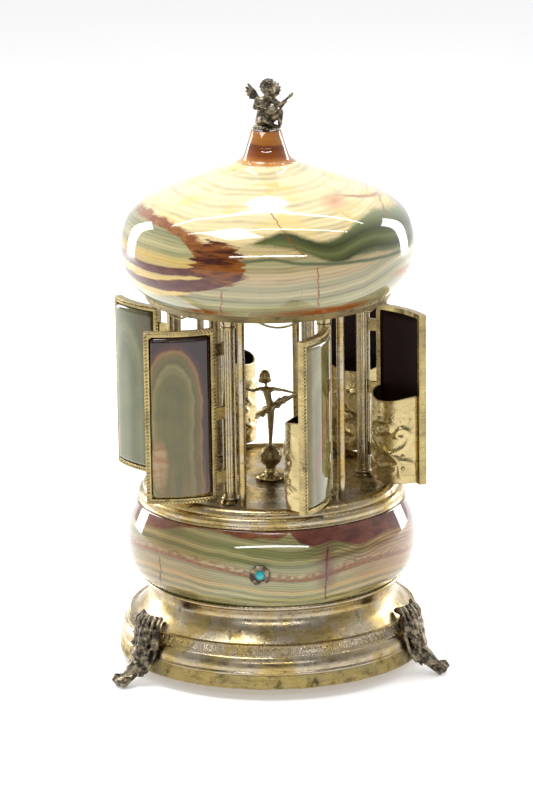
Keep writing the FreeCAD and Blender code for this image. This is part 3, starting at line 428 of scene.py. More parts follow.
RED_DOOR = [
    (0.0, (0.115, 0.105, 0.020)), (0.42, (0.135, 0.115, 0.024)), (0.54, (0.24, 0.195, 0.060)),
    (0.62, (0.115, 0.090, 0.016)), (0.72, (0.15, 0.105, 0.022)), (0.79, (0.26, 0.13, 0.030)),
    (0.84, (0.085, 0.016, 0.005)), (0.92, (0.030, 0.004, 0.002)), (1.0, (0.018, 0.003, 0.002))]
TAN_DOOR = [
    (0.0, (0.20, 0.17, 0.060)), (0.3, (0.15, 0.135, 0.040)), (0.5, (0.26, 0.22, 0.09)),
    (0.7, (0.17, 0.14, 0.045)), (1.0, (0.24, 0.20, 0.08))]
GREEN_DOOR = [
    (0.0, (0.15, 0.165, 0.055)), (0.35, (0.095, 0.11, 0.026)), (0.6, (0.18, 0.185, 0.070)),
    (0.8, (0.085, 0.095, 0.022)), (1.0, (0.09, 0.075, 0.015))]
DOOR_KINDS = (RED_DOOR, TAN_DOOR, GREEN_DOOR, TAN_DOOR, RED_DOOR, GREEN_DOOR)


def door_stone(bay):
    """Stone of one door: layers that arch up its middle, with clouds, and a patch or a streak on top."""
    kind = DOOR_KINDS[bay]
    shader = Shader(f"onyx_door_{bay + 1}")
    z = shader.z
    place = door_place(bay)
    middle = place @ on_door(PANEL_FACE, 0.0, 0.0)
    sideways = place.to_3x3() @ Vector((0.0, 1.0, 0.0))
    along = shader.vector("DOT_PRODUCT", shader.vector("SUBTRACT", shader.place, tuple(middle)),
        tuple(sideways))
    moved = shader.vector("ADD", shader.place, (37.0 * bay, 0.0, 0.0))
    bend = (shader.noise(16.0, 3.0, place=moved) - 0.5) * 5.0
    across = (along + 4.0) * 1.15
    rise = shader.math("MAXIMUM", z - 146.0, 0.0) * 0.60
    level = shader.math("SQRT", abs(across) ** 2.0 + rise ** 2.0) + bend
    colour = layers(shader, level, 0.0, 20.0, kind, fine=2.3, depth=0.28)
    clouds = shader.noise(13.0, 5.0, place=moved).fit(0.40, 0.70, 0.0, 0.6)
    colour = shader.mix(clouds, colour, (0.58, 0.60, 0.40), "MULTIPLY")
    if kind is RED_DOOR:
        spot = ((along + 11.0) / 4.2) ** 2.0 + ((z - 114.0) / 14.0) ** 2.0 + ragged(shader, 7.0, 0.35)
        tan = mottled(shader, 5.0, (0.42, 0.28, 0.13), (0.34, 0.15, 0.04))
        colour = shader.mix(spot.fit(0.25, 1.2, 0.9, 0.0), colour, tan)
        streaks = shader.noise(2.2, 3.0, place=shader.vector("MULTIPLY", moved, (1.0, 1.0, 0.06)))
        low = z.fit(100.0, 125.0, 0.7, 0.0) * streaks.fit(0.45, 0.62)
        colour = shader.mix(low, colour, (0.20, 0.12, 0.035))
    if kind is TAN_DOOR:
        away = abs(along - (z - 136.0) * 0.42) + ragged(shader, 9.0, 3.0)
        part = z.fit(106.0, 124.0) * z.fade(158.0, 168.0)
        colour = shader.mix(away.fit(1.5, 4.0, 0.85, 0.0) * part, colour, (0.24, 0.075, 0.038))
    return polished_stone(shader, colour)


# ---- metal --------------------------------------------------------------------------
def aged_metal(name, bright, worn, dirt, wear=0.5, grime=0.5, roughness=0.3, hammer=0.0, weave=0.0):
    """Gilt worn through to grey metal in clouds, with dark tarnish spots and scratches."""
    shader = Shader(name)
    clouds = shader.noise(16.0, 6.0, 0.62)
    colour = shader.mix(clouds.fit(wear - 0.09, wear + 0.09), worn, bright)
    streaks = shader.noise(3.2, 3.0, 0.6, shader.stretched(0.35, 0.35, 2.4))
    colour = shader.mix(streaks.fit(0.52, 0.72, 0.0, 0.35), colour, dirt)
    spots = shader.noise(6.5, 8.0, 0.72).fit(0.66 - 0.16 * grime, 0.78 - 0.12 * grime)
    colour = shader.mix(spots * 0.85, colour, dirt)
    rough = shader.noise(5.0, 5.0).fit(0.3, 0.75, roughness - 0.10, roughness + 0.16)
    shader.set(Base_Color=colour, Metallic=1.0, Roughness=rough + spots * 0.25)
    shader.bump(shader.noise(1.4, 4.0), 0.025)
    if hammer:
        shader.bump(shader.cells(hammer), 0.22)
    if weave:
        ring = shader.math("ARCTAN2", shader.y, shader.x) * BASE_RADIUS
        across = shader.math("SINE", ring * (2 * math.pi / weave))
        up = shader.math("SINE", shader.z * (2 * math.pi / weave))
        shader.bump(across * up, 0.16)
    return shader.material


def plain_metal(name, colour, roughness=0.3):
    shader = Shader(name)
    dark = tuple(c * 0.35 for c in colour)
    shade = shader.mix(shader.noise(4.0, 6.0).fit(0.4, 0.8, 0.0, 0.5), colour, dark)
    rough = shader.noise(2.0).fit(0.3, 0.7, roughness - 0.06, roughness + 0.12)
    shader.set(Base_Color=shade, Metallic=1.0, Roughness=rough)
    shader.bump(shader.noise(0.8, 2.0, place=shader.stretched(1.0, 1.0, 6.0)), 0.02)
    return shader.material


def bronze():
    shader = Shader("antique_bronze")
    patina = shader.noise(3.0, 6.0).fit(0.42, 0.62)
    colour = shader.mix(patina, (0.055, 0.045, 0.034), (0.34, 0.28, 0.19))
    shader.set(Base_Color=colour, Metallic=1.0, Roughness=shader.noise(2.0).fit(0.3, 0.7, 0.26, 0.48))
    shader.bump(shader.noise(0.9, 4.0), 0.14)
    return shader.material


def lining_cloth():
    shader = Shader("maroon_lining")
    colour = shader.mix(shader.noise(9.0, 6.0), (0.003, 0.001, 0.001), (0.020, 0.003, 0.002))
    shader.set(Base_Color=colour, Roughness=0.6, Specular_IOR_Level=0.15)
    shader.bump(shader.noise(0.35, 2.0), 0.08)
    return shader.material


def turquoise():
    shader = Shader("turquoise")
    colour = shader.mix(shader.noise(1.1, 5.0).fit(0.58, 0.68), (0.02, 0.42, 0.46), (0.04, 0.16, 0.15))
    shader.set(Base_Color=colour, Roughness=0.18, Coat_Weight=0.5)
    return shader.material


GOLD, SILVERED, DIRT = (0.44, 0.32, 0.125), (0.48, 0.41, 0.30), (0.030, 0.021, 0.010)
MATERIAL = {
    "aged_gilt": aged_metal("aged_gilt", GOLD, SILVERED, DIRT, 0.50, 0.60, 0.27),
    "base_band": aged_metal("base_band", (0.46, 0.35, 0.13), (0.34, 0.28, 0.13), DIRT, 0.45, 0.95, 0.36,
    weave=1.5),
    "rim_gilt": aged_metal("rim_gilt", (0.42, 0.32, 0.13), (0.26, 0.20, 0.10), DIRT, 0.5, 0.8, 0.36,
    weave=1.3),
    "door_gilt": aged_metal("door_gilt", (0.50, 0.39, 0.17), (0.32, 0.25, 0.12), DIRT, 0.5, 0.40, 0.25),
    "column_gilt": aged_metal("column_gilt", (0.42, 0.34, 0.18), (0.40, 0.34, 0.24), DIRT, 0.5, 0.30, 0.24),
    "embossed_gilt": aged_metal("embossed_gilt", (0.56, 0.45, 0.22), (0.44, 0.35, 0.17), DIRT, 0.42, 0.30,
    0.25),
    "figure_gilt": aged_metal("figure_gilt", (0.36, 0.28, 0.13), (0.20, 0.15, 0.075), DIRT, 0.5, 0.5, 0.30),
    "hammered_gilt": aged_metal("hammered_gilt", (0.44, 0.34, 0.15), (0.26, 0.20, 0.10), DIRT, 0.5, 0.5,
    0.30, hammer=1.3),
    "antique_bronze": bronze(),
    "onyx_top": dome_stone(), "onyx_base": drum_stone(), "onyx_amber": finial_stone(),
    "plain_brass": plain_metal("plain_brass", (0.70, 0.52, 0.22)),
    "steel": plain_metal("steel", (0.50, 0.50, 0.50), 0.34),
    "turquoise": turquoise(), "lining": lining_cloth(),
}


# ---- mesh helpers -------------------------------------------------------------------
def place_piece(name, mesh, material, body, replaced=()):
    """Makes an object of a mesh drawn in the row frame, in millimetres, and ties it to its body."""
    mesh.transform(Matrix.Scale(MM, 4))
    mesh.polygons.foreach_set("use_smooth", [True] * len(mesh.polygons))
    piece = bpy.data.objects.new(name, mesh)
    bpy.context.scene.collection.objects.link(piece)
    mesh.materials.append(material)
    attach(piece, body)
    if replaced:
        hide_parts(*replaced)
    return piece


def mesh_of(name, vertices, faces):
    mesh = bpy.data.meshes.new(name)
    mesh.from_pydata(vertices, [], faces)
    mesh.update()
    return mesh


def smooth_curve(points, steps=8):
    """A Catmull-Rom curve through the points, ends included."""
    ends = [[2 * a - b for a, b in zip(points[0], points[1])]] + [list(p) for p in points]
    ends.append([2 * a - b for a, b in zip(points[-1], points[-2])])
    found = []
    for p0, p1, p2, p3 in zip(ends, ends[1:], ends[2:], ends[3:]):
        for k in range(steps):
            t = k / steps
            found.append(tuple(0.5 * (2 * b + (c - a) * t + (2 * a - 5 * b + 4 * c - d) * t ** 2
                + (3 * b - a - 3 * c + d) * t ** 3)
                               for a, b, c, d in zip(p0, p1, p2, p3)))
    found.append(tuple(points[-1]))
    return found


def lathe(name, outline, segments=240, relief=None, closed=True):
    """Turns an outline of (radius, z) about the centre line; relief(angle, index) adds to the radius."""
    vertices, faces = [], []
    count = len(outline)
    for s in range(segments):
        angle = 2 * math.pi * s / segments
        for i, (radius, z) in enumerate(outline):
            r = radius + (relief(angle, i) if relief else 0.0)
            vertices.append((r * math.cos(angle), r * math.sin(angle), z))
    for s in range(segments):
        t = (s + 1) % segments
        for i in range(count if closed else count - 1):
            j = (i + 1) % count
            faces.append((s * count + i, t * count + i, t * count + j, s * count + j))
    return mesh_of(name, vertices, faces)


def sheet_mesh(name, rows, columns, point, thick=None):
    """A grid of point(u, v), with u and v from 0 to 1. thick(u, v) gives the back, and closes the edges."""
    def grid(source):
        return [source(j / columns, i / rows) for i in range(rows + 1) for j in range(columns + 1)]
    wide = columns + 1
    vertices = grid(point)
    faces = [(i * wide + j, i * wide + j + 1, (i + 1) * wide + j + 1, (i + 1) * wide + j)
        for i in range(rows) for j in range(columns)]
    if thick:
        base = len(vertices)
        vertices += grid(thick)
        faces += [tuple(base + k for k in reversed(face)) for face in faces]
        border = list(range(wide)) + [i * wide + columns for i in range(1, rows + 1)]
        border += [rows * wide + j for j in range(columns - 1, -1, -1)] + [i * wide
            for i in range(rows - 1, 0, -1)]
        for a, b in zip(border, border[1:] + border[:1]):
            faces.append((b, a, base + a, base + b))
    return mesh_of(name, vertices, faces)


def tube_mesh(name, path, radius, sides=8):
    """A round wire along a path of points, with flat ends."""
    path = [Vector(p) for p in path]
    count = len(path)
    vertices, faces = [], []
    side = None
    for i, point in enumerate(path):
        along = (path[min(i + 1, count - 1)] - path[max(i - 1, 0)]).normalized()
        if side is None:
            side = along.orthogonal().normalized()
        side = (side - along * side.dot(along)).normalized()
        up = along.cross(side)
        for k in range(sides):
            a = 2 * math.pi * k / sides
            vertices.append(point + (side * math.cos(a) + up * math.sin(a)) * radius)
    for i in range(count - 1):
        for k in range(sides):
            m = (k + 1) % sides
            faces.append((i * sides + k, i * sides + m, (i + 1) * sides + m, (i + 1) * sides + k))
    faces.append(tuple(reversed(range(sides))))
    faces.append(tuple((count - 1) * sides + k for k in range(sides)))
    return mesh_of(name, vertices, faces)


def round_ball(name, place, radius, around, up):
    form = bmesh.new()
    bmesh.ops.create_uvsphere(form, u_segments=around, v_segments=up, radius=radius,
        matrix=Matrix.Translation(place))
    mesh = bpy.data.meshes.new(name)
    form.to_mesh(mesh)
    form.free()
    return mesh


def joined(name, meshes, matrices=None):
    """One mesh of several, each moved by its matrix if matrices are given."""
    form = bmesh.new()
    for k, mesh in enumerate(meshes):
        copy = mesh.copy()
        if matrices:
            copy.transform(matrices[k])
        form.from_mesh(copy)
    result = bpy.data.meshes.new(name)
    form.to_mesh(result)
    form.free()
    return result


def resampled(points, spacing):
    """The same path with points every so many millimetres."""
    points = [Vector(p) for p in points]
    lengths = [(b - a).length for a, b in zip(points, points[1:])]
    total = sum(lengths)
    count = max(2, round(total / spacing))
    found, index, passed = [], 0, 0.0
    for k in range(count + 1):
        goal = total * k / count
        while index < len(lengths) - 1 and passed + lengths[index] < goal:
            passed += lengths[index]
            index += 1
        found.append(points[index].lerp(points[index + 1], min(1.0, (goal - passed) / lengths[index])))
    return found


def rope_mesh(name, path, radius, pitch, outward):
    """Twisted wire: strands wound about a path, with outward(point) giving the side that it starts on."""
    strands, steps_per_turn = 2, 10
    path = resampled(path, pitch / steps_per_turn)
    wires = []
    for s in range(strands):
        points = []
        for i, point in enumerate(path):
            ahead, behind = path[min(i + 1, len(path) - 1)], path[max(i - 1, 0)]
            along = (ahead - behind).normalized()
            out = outward(point)
            out = (out - along * out.dot(along)).normalized()
            a = 2 * math.pi * (i / steps_per_turn + s / strands)
            points.append(point + (out * math.cos(a) + along.cross(out) * math.sin(a)) * radius * 0.48)
        wires.append(tube_mesh(name, points, radius * 0.54, 7))
    return joined(name, wires)


def unit_ball(subdivisions):
    form = bmesh.new()
    bmesh.ops.create_icosphere(form, subdivisions=subdivisions, radius=1.0)
    form.verts.index_update()
    points = np.array([vertex.co[:] for vertex in form.verts])
    faces = np.array([[vertex.index for vertex in face.verts] for face in form.faces])
    form.free()
    return points, faces


FINE_BALL, COARSE_BALL = unit_ball(3), unit_ball(2)


def sculpted(name, parts, voxel):
    """Balls and limbs melted into one skin.

    A ball is (centre, radii, tilt in degrees), and a limb is (start, end, start radius, end radius).
    """
    placed = []
    for part in parts:
        if len(part) == 3:
            centre, radii, tilt = part
            turn = Matrix.Rotation(math.radians(tilt[2]), 3, "Z") @ Matrix.Rotation(math.radians(tilt[1]),
                3, "Y")
            turn = np.array(turn @ Matrix.Rotation(math.radians(tilt[0]), 3, "X"))
            placed.append((FINE_BALL, turn * np.array(radii), centre))
            continue
        p, q, start, end = Vector(part[0]), Vector(part[1]), part[2], part[3]
        count = max(2, math.ceil((q - p).length / (0.35 * min(start, end))))
        for k in range(count + 1):
            t = k / count
            placed.append((COARSE_BALL, np.eye(3) * (start + (end - start) * t), p.lerp(q, t)))
    vertices, faces, total = [], [], 0
    for (points, triangles), shape, centre in placed:
        vertices.append(points @ shape.T + np.array(centre))
        faces.append(triangles + total)
        total += len(points)
    rough = bpy.data.meshes.new(name)
    rough.from_pydata(np.concatenate(vertices).tolist(), [], np.concatenate(faces).tolist())
    holder = bpy.data.objects.new(name + "_rough", rough)
    bpy.context.scene.collection.objects.link(holder)
    melt = holder.modifiers.new("melt", "REMESH")
    melt.mode, melt.voxel_size = "VOXEL", voxel
    soften = holder.modifiers.new("soften", "SMOOTH")
    soften.factor, soften.iterations = 0.5, 2
    bpy.context.view_layer.update()
    graph = bpy.context.evaluated_depsgraph_get()
    result = bpy.data.meshes.new_from_object(holder.evaluated_get(graph))
    bpy.data.objects.remove(holder)
    return result


def azimuth_turn(degrees):
    return Matrix.Rotation(math.radians(degrees), 4, "Z")


def bay_turn(bay):
    return azimuth_turn(FIRST_COLUMN_AZIMUTH + BAY_ANGLE * bay)


def door_place(bay):
    """From a door drawn about the centre line, facing +X, to its open place in that bay."""
    turn = azimuth_turn(DOOR_OPEN_TURN)
    hinge = turn @ Vector((DOOR_CURVE * math.cos(DOOR_HALF_ANGLE), DOOR_CURVE * math.sin(DOOR_HALF_ANGLE),
        0))
    shift = Matrix.Translation((DOOR_CORNER[0] - hinge.x, DOOR_CORNER[1] - hinge.y, 0))
    return bay_turn(bay) @ shift @ turn


def on_door(radius, angle, z):
    return Vector((radius * math.cos(angle), radius * math.sin(angle), z))


# ---- base, drum and dome ------------------------------------------------------------
def base_pieces():
    outer = [(76.0, 5.5), (77.1, 5.6), (77.2, 6.2), (76.6, 12.6), (76.9, 13.1), (76.9, 13.7), (76.3, 14.3)]
    outer += smooth_curve([(76.3, 14.3), (76.2, 16.2), (75.6, 18.6), (74.4, 20.6)])[1:]
    outer += [(73.6, 21.0), (73.2, 21.4), (71.7, 25.0)]
    outer += smooth_curve([(71.7, 25.0), (71.7, 25.6), (71.2, 26.1), (70.4, 25.9)], 5)[1:]
    outer += smooth_curve([(69.2, 26.6), (66.6, 29.0), (63.0, 32.6), (61.2, 37.0), (62.2, 41.0)], 10)
    outer += smooth_curve([(64.2, 41.9), (65.1, 42.3), (65.4, 43.1), (65.1, 43.9), (64.4, 44.2)], 5)
    inner = [(55.0, 44.2), (55.0, 43.0), (60.4, 42.9), (59.8, 37.0), (61.4, 32.2), (65.0, 28.6),
        (70.6, 24.3), (73.2, 19.6), (75.2, 13.5)]
    place_piece("base_skin", lathe("base_skin", outer + inner), MATERIAL["aged_gilt"], "base",
        ["base_shell"])
    band = [(77.0, 5.9), (77.3, 6.1), (77.2, 6.9), (76.85, 11.8), (76.8, 12.6), (76.4, 12.8)]
    place_piece("base_lower_band", lathe("base_lower_band", band, closed=False), MATERIAL["base_band"],
        "base")
    place_piece("leaf_band", leaf_band(), MATERIAL["aged_gilt"], "base")
    beads = 230
    form = bmesh.new()
    bmesh.ops.create_icosphere(form, subdivisions=1, radius=0.62,
        matrix=Matrix.Translation((71.5, 0, 25.7)))
    bead = bpy.data.meshes.new("bead")
    form.to_mesh(bead)
    form.free()
    row = joined("bead_row", [bead] * beads, [azimuth_turn(360.0 * k / beads) for k in range(beads)])
    place_piece("bead_row", row, MATERIAL["aged_gilt"], "base")


def leaf_band():
    """A band of small upright leaves round the base, each a raised U with a rib up its middle."""
    leaves, rows, tall, half_pitch = 150, 14, 4.6, 1.54
    outline = [(73.75 - 2.1 * i / rows, 21.1 + 4.1 * i / rows) for i in range(rows + 1)]

    def relief(angle, index):
        up = tall * index / rows - 1.5
        across = ((angle / (2 * math.pi) * leaves) % 1.0 - 0.5) * 2 * half_pitch
        reach = abs(across) if up > 0 else math.hypot(across, up)
        outline_ridge = math.exp(-((reach - 1.05) / 0.30) ** 2)
        rib = 0.7 * math.exp(-(across / 0.22) ** 2) * (0.4 < tall * index / rows < 3.6)
        return 0.50 * max(outline_ridge, rib) - 0.10

    return lathe("leaf_band", outline, leaves * 12, relief, closed=False)


def drum_and_floor():
    wall = smooth_curve([(64.6, 44.3), (70.4, 50.6), (72.6, 60.8), (71.5, 72.0), (67.0, 83.2)], 14)
    drum = lathe("drum_stone", wall + [(58.0, 83.2), (58.0, 44.3)])
    place_piece("drum_stone", drum, MATERIAL["onyx_base"], "base", ["onyx_drum"])
    rim = [(64.0, 83.4), (66.4, 83.4)] + smooth_curve([(66.6, 83.4), (67.2, 84.1), (66.7, 84.8)], 5)
    rim += smooth_curve([(66.5, 85.1), (66.4, 87.0), (65.6, 88.2), (64.9, 88.7)], 6) + [(64.3, 88.8),
        (64.0, 89.2)]
    rim += smooth_curve([(64.3, 89.5), (63.8, 91.2), (62.4, 92.4), (60.6, 92.9), (59.7, 92.6),
        (59.2, 91.8)], 6)
    rim += [(59.0, FLOOR_TOP), (40.0, FLOOR_TOP), (20.0, FLOOR_TOP), (1.7, FLOOR_TOP),
        (1.7, FLOOR_TOP - 1.8), (59.6, FLOOR_TOP - 1.8), (62.4, 87.0)]
    place_piece("floor_skin", lathe("floor_skin", rim), MATERIAL["aged_gilt"], "base",
        ["carousel_floor"])


def dome_pieces():
    outside = smooth_curve([
        (61.7, DOME_SEAT), (67.4, 194.4), (71.6, 201.5), (72.9, 210.5), (71.4, 220.5), (67.4, 228.4),
        (58.6, 234.9), (45.0, 240.8), (31.5, 246.2), (20.5, 250.2), (14.5, FINIAL_SEAT)], 12)
    inside = [(2.7, FINIAL_SEAT), (2.7, 244.5), (5.0, 244.5), (22.0, 242.0), (44.0, 233.5), (59.0, 224.5),
        (64.0, 211.0), (60.0, 198.0), (56.6, DOME_SEAT)]
    place_piece("dome_stone", lathe("dome_stone", outside + inside), MATERIAL["onyx_top"], "dome",
        ["onyx_dome"])
    flare = smooth_curve([(14.5, FINIAL_SEAT), (12.0, 255.0), (10.4, 258.4), (9.5, 261.6)],
        8) + [(9.3, 261.9), (7.4, CHERUB_SEAT - 0.1), (7.1, CHERUB_SEAT), (2.2, CHERUB_SEAT),
        (2.2, FINIAL_SEAT)]
    place_piece("finial_stone", lathe("finial_stone", flare, 96), MATERIAL["onyx_amber"], "dome",
        ["onyx_finial"])


def garlands():
    for bay in range(BAYS):
        path = []
        for k in range(25):
            s = (k / 24) * 2 - 1
            path.append((55.0 + 0.2 * s, 10.2 * s, CEILING - 0.6 - 3.2 * (1 - s * s)))
        mesh = rope_mesh("garland", path, 0.62, 2.4, outward=lambda p: Vector((1, 0, 0)))
        mesh.transform(azimuth_turn(FIRST_COLUMN_AZIMUTH + BAY_ANGLE * (bay + 0.5)))
        place_piece(f"garland_rope_{bay + 1}", mesh, MATERIAL["door_gilt"], "base",
            ["garlands"] if bay == 0 else ())


# ---- doors --------------------------------------------------------------------------
def door_rope():
    """The twisted wire round a door's outer edge."""
    half = DOOR_HALF_ANGLE - 0.9 / DOOR_CURVE
    low, high, radius = DOOR_BOTTOM + 1.0, DOOR_TOP - 1.0, FRAME_OUTER - 0.60
    steps = 12
    path = [on_door(radius, -half + 2 * half * k / steps, low) for k in range(steps + 1)]
    path += [on_door(radius, half, low + (high - low) * k / steps) for k in range(1, steps + 1)]
    path += [on_door(radius, half - 2 * half * k / steps, high) for k in range(1, steps + 1)]
    path += [on_door(radius, -half, high - (high - low) * k / steps) for k in range(1, steps + 1)]
    return rope_mesh("door_rope", path, 1.10, 3.4, outward=lambda p: Vector((p.x, p.y, 0)).normalized())


def panel_point(u, v):
    """A cushion-shaped slab with rounded corners, on the outside of a door."""
    half = DOOR_HALF_ANGLE - 2.3 / DOOR_CURVE
    height = DOOR_TOP - DOOR_BOTTOM - 4.6
    width = 2 * half * DOOR_CURVE
    x, y = (u - 0.5) * width, (v - 0.5) * height
    corner = 3.0
    dx, dy = abs(x) - (width / 2 - corner), abs(y) - (height / 2 - corner)
    if dx > 0 and dy > 0:
        reach = math.hypot(dx, dy)
        scale = min(1.0, max(dx, dy) / reach)
        x = math.copysign(width / 2 - corner + dx * scale, x)
        y = math.copysign(height / 2 - corner + dy * scale, y)
        edge = corner - reach * scale
    else:
        edge = corner - max(dx, dy)
    rise = 1.0 - (1.0 - min(1.0, edge / 2.4)) ** 2.2
    radius = PANEL_BACK + 0.5 + (PANEL_FACE - PANEL_BACK - 0.5) * rise
    return on_door(radius, x / DOOR_CURVE, (DOOR_TOP + DOOR_BOTTOM) / 2 + y)


def spread(u):
    """Puts more of a grid's lines near its two edges."""
    return 0.5 - 0.5 * math.cos(math.pi * u)


def panel_mesh():
    return sheet_mesh("panel", 60, 34, lambda u, v: panel_point(spread(u), spread(v)),
                      lambda u, v: on_door(PANEL_BACK + 0.05, *flat_of(panel_point(spread(u), spread(v)))))


def flat_of(point):
    return math.atan2(point.y, point.x), point.z


def lining_mesh():
    half = DOOR_HALF_ANGLE - (FRAME_BORDER + 0.05) / DOOR_CURVE
    low, high = DOOR_BOTTOM + FRAME_BORDER + 0.1, DOOR_TOP - FRAME_BORDER - 0.1

    def surface(radius):
        return lambda u, v: on_door(radius, half * (2 * u - 1), low + (high - low) * v)

    return sheet_mesh("lining", 20, 10, surface(LINING_FACE - 0.35), surface(LINING_FACE))


def scroll_lines():
    """The stems and leaves embossed on a holder, as lines of (u, v) in millimetres from its middle."""
    lines = []
    stem = smooth_curve([(-9.0, -19.0), (-7.5, -10.0), (-1.0, -3.0), (4.5, 3.5), (3.0, 10.5), (-3.0, 11.5),
        (-4.5, 7.0), (-1.0, 5.5)], 12)
    lines.append((stem, 1.0))
    lines.append((smooth_curve([(-4.5, -6.5), (-10.0, -3.0), (-12.0, 3.0), (-9.0, 6.5), (-7.0, 4.0),
        (-8.5, 2.0)], 12), 0.85))
    lines.append((smooth_curve([(-8.0, -12.0), (-1.0, -13.5), (5.5, -10.5), (8.5, -4.5), (6.5, -1.5),
        (4.5, -3.5), (6.0, -5.0)], 12), 0.85))
    lines.append((smooth_curve([(2.5, 0.5), (8.5, 1.5), (12.0, 6.5), (11.0, 12.5)], 12), 0.8))
    lines.append((smooth_curve([(-6.0, -9.0), (-13.0, -12.0), (-14.5, -17.5)], 10), 0.8))
    lines.append((smooth_curve([(0.0, -13.4), (4.0, -18.0), (10.0, -18.5), (13.5, -14.0)], 10), 0.8))
    for k in range(7):
        t = k / 6
        root = (4.2 - 2 * t, 2.0 + 8.0 * t)
        tip = (root[0] + 5.0 - 8.0 * t, root[1] + 5.0 - 2.0 * t)
        lines.append((smooth_curve([root, ((root[0] + tip[0]) / 2 + 1.0, (root[1] + tip[1]) / 2), tip], 5),
            0.55))
    for k in range(5):
        root = (-10.0 + 3.2 * k, -14.5 + 1.4 * k)
        lines.append((smooth_curve([root, (root[0] + 0.4, root[1] - 2.4), (root[0] + 2.2, root[1] - 4.2)],
            5), 0.5))
    return lines


def relief_map(width, height, count_u, count_v):
    """Height of the embossing in millimetres over a grid."""
    u = np.linspace(-width / 2, width / 2, count_u)[None, :]
    v = np.linspace(-height / 2, height / 2, count_v)[:, None]
    total = np.zeros((count_v, count_u))
    for points, weight in scroll_lines():
        best = np.full((count_v, count_u), 1e9)
        for a, b in points:
            best = np.minimum(best, (u - a) ** 2 + (v - b) ** 2)
        total = np.maximum(total, weight * np.exp(-best / (2 * (1.05 * weight) ** 2)))
    draw = np.random.default_rng(7)
    stipple = draw.random((count_v, count_u)) * 0.16 * (1 - np.clip(total * 2, 0, 1))
    return 0.95 * total + stipple


def holder_mesh():
    """An embossed oval holder with a rolled rim, a floor and two rivets."""
    rows, columns = 110, 150
    height = POCKET_TOP - POCKET_BOTTOM
    bumps = relief_map(2.1 * POCKET_HALF_WIDTH, height, columns + 1, rows + 1)

    def rim(y):
        return POCKET_TOP - POCKET_DIP * (1 - (y / POCKET_HALF_WIDTH) ** 2)

    def wall(inset, raised):
        def point(u, v):
            a = math.pi / 2 + math.pi * (1 - u)
            lift = bumps[round(v * rows), round(u * columns)] if raised else 0.0
            fade = min(1.0, 12 * u, 12 * (1 - u), 10 * (1 - v), 10 * v)
            depth = POCKET_DEPTH - 0.6 - inset + lift * fade
            across = POCKET_HALF_WIDTH - 0.4 - inset + lift * fade * 0.5
            x, y = POCKET_PLANE + depth * math.cos(a), across * math.sin(a)
            return Vector((x, y, POCKET_BOTTOM + (rim(y) - POCKET_BOTTOM) * v))
        return point

    shell = sheet_mesh("holder_shell", rows, columns, wall(0.0, True), wall(POCKET_WALL, False))
    edge = [wall(POCKET_WALL / 2, False)(k / 60, 1.0) for k in range(61)]
    pieces = [shell, tube_mesh("holder_rim", edge, 0.55, 8)]
    floor = [(0.0, 0.0)] + [(math.cos(a), math.sin(a))
        for a in (math.pi / 2 + math.pi * k / 40 for k in range(41))]
    bottom = [Vector((POCKET_PLANE + (POCKET_DEPTH - 1) * c, (POCKET_HALF_WIDTH - 1) * s,
        POCKET_BOTTOM + 0.5)) for c, s in floor]
    pieces.append(mesh_of("holder_floor", bottom, [(0, k, k + 1) for k in range(1, 41)]))
    for z in (POCKET_BOTTOM + 8.0, POCKET_BOTTOM + 14.0):
        a = math.radians(-52)
        spot = (POCKET_PLANE - POCKET_DEPTH * math.cos(a) + 0.5, POCKET_HALF_WIDTH * math.sin(a), z)
        pieces.append(round_ball("rivet", spot, 1.15, 16, 10))
    return joined("holder", pieces)


def button_spring():
    """The coil behind the push button, drawn at one fixed length; nothing here shortens it as the button
    goes in.
    """
    turns, start, length, radius = 8, 58.7, 11.1, 2.15
    turn = azimuth_turn(BUTTON_AZIMUTH)
    path = []
    for k in range(turns * 24 + 1):
        a = 2 * math.pi * k / 24
        path.append((start + length * k / (turns * 24), radius * math.cos(a),
            BUTTON_HEIGHT + radius * math.sin(a)))
    mesh = tube_mesh("button_coil", path, 0.3, 8)
    mesh.transform(turn)
    coil = place_piece("button_coil", mesh, MATERIAL["steel"], "base", ["button_spring"])
    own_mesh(coil)


def doors():
    shapes = {"rope": (door_rope(), MATERIAL["door_gilt"], "door_gilt", None),
              "lining": (lining_mesh(), MATERIAL["lining"], "door_gilt", None),
              "holder": (holder_mesh(), MATERIAL["embossed_gilt"], "embossed_gilt", "cigarette_holder"),
              "panel": (panel_mesh(), None, "onyx_door", "onyx_panel")}
    for bay in range(BAYS):
        for name, (shape, material, slot, replaced) in shapes.items():
            mesh = shape.copy()
            mesh.transform(door_place(bay))
            stands_for = [f"{replaced}_{bay + 1}"] if replaced else ()
            place_piece(f"door_{name}_{bay + 1}", mesh, material or ONYX_DOORS[bay], f"door_{bay + 1}",
                stands_for)


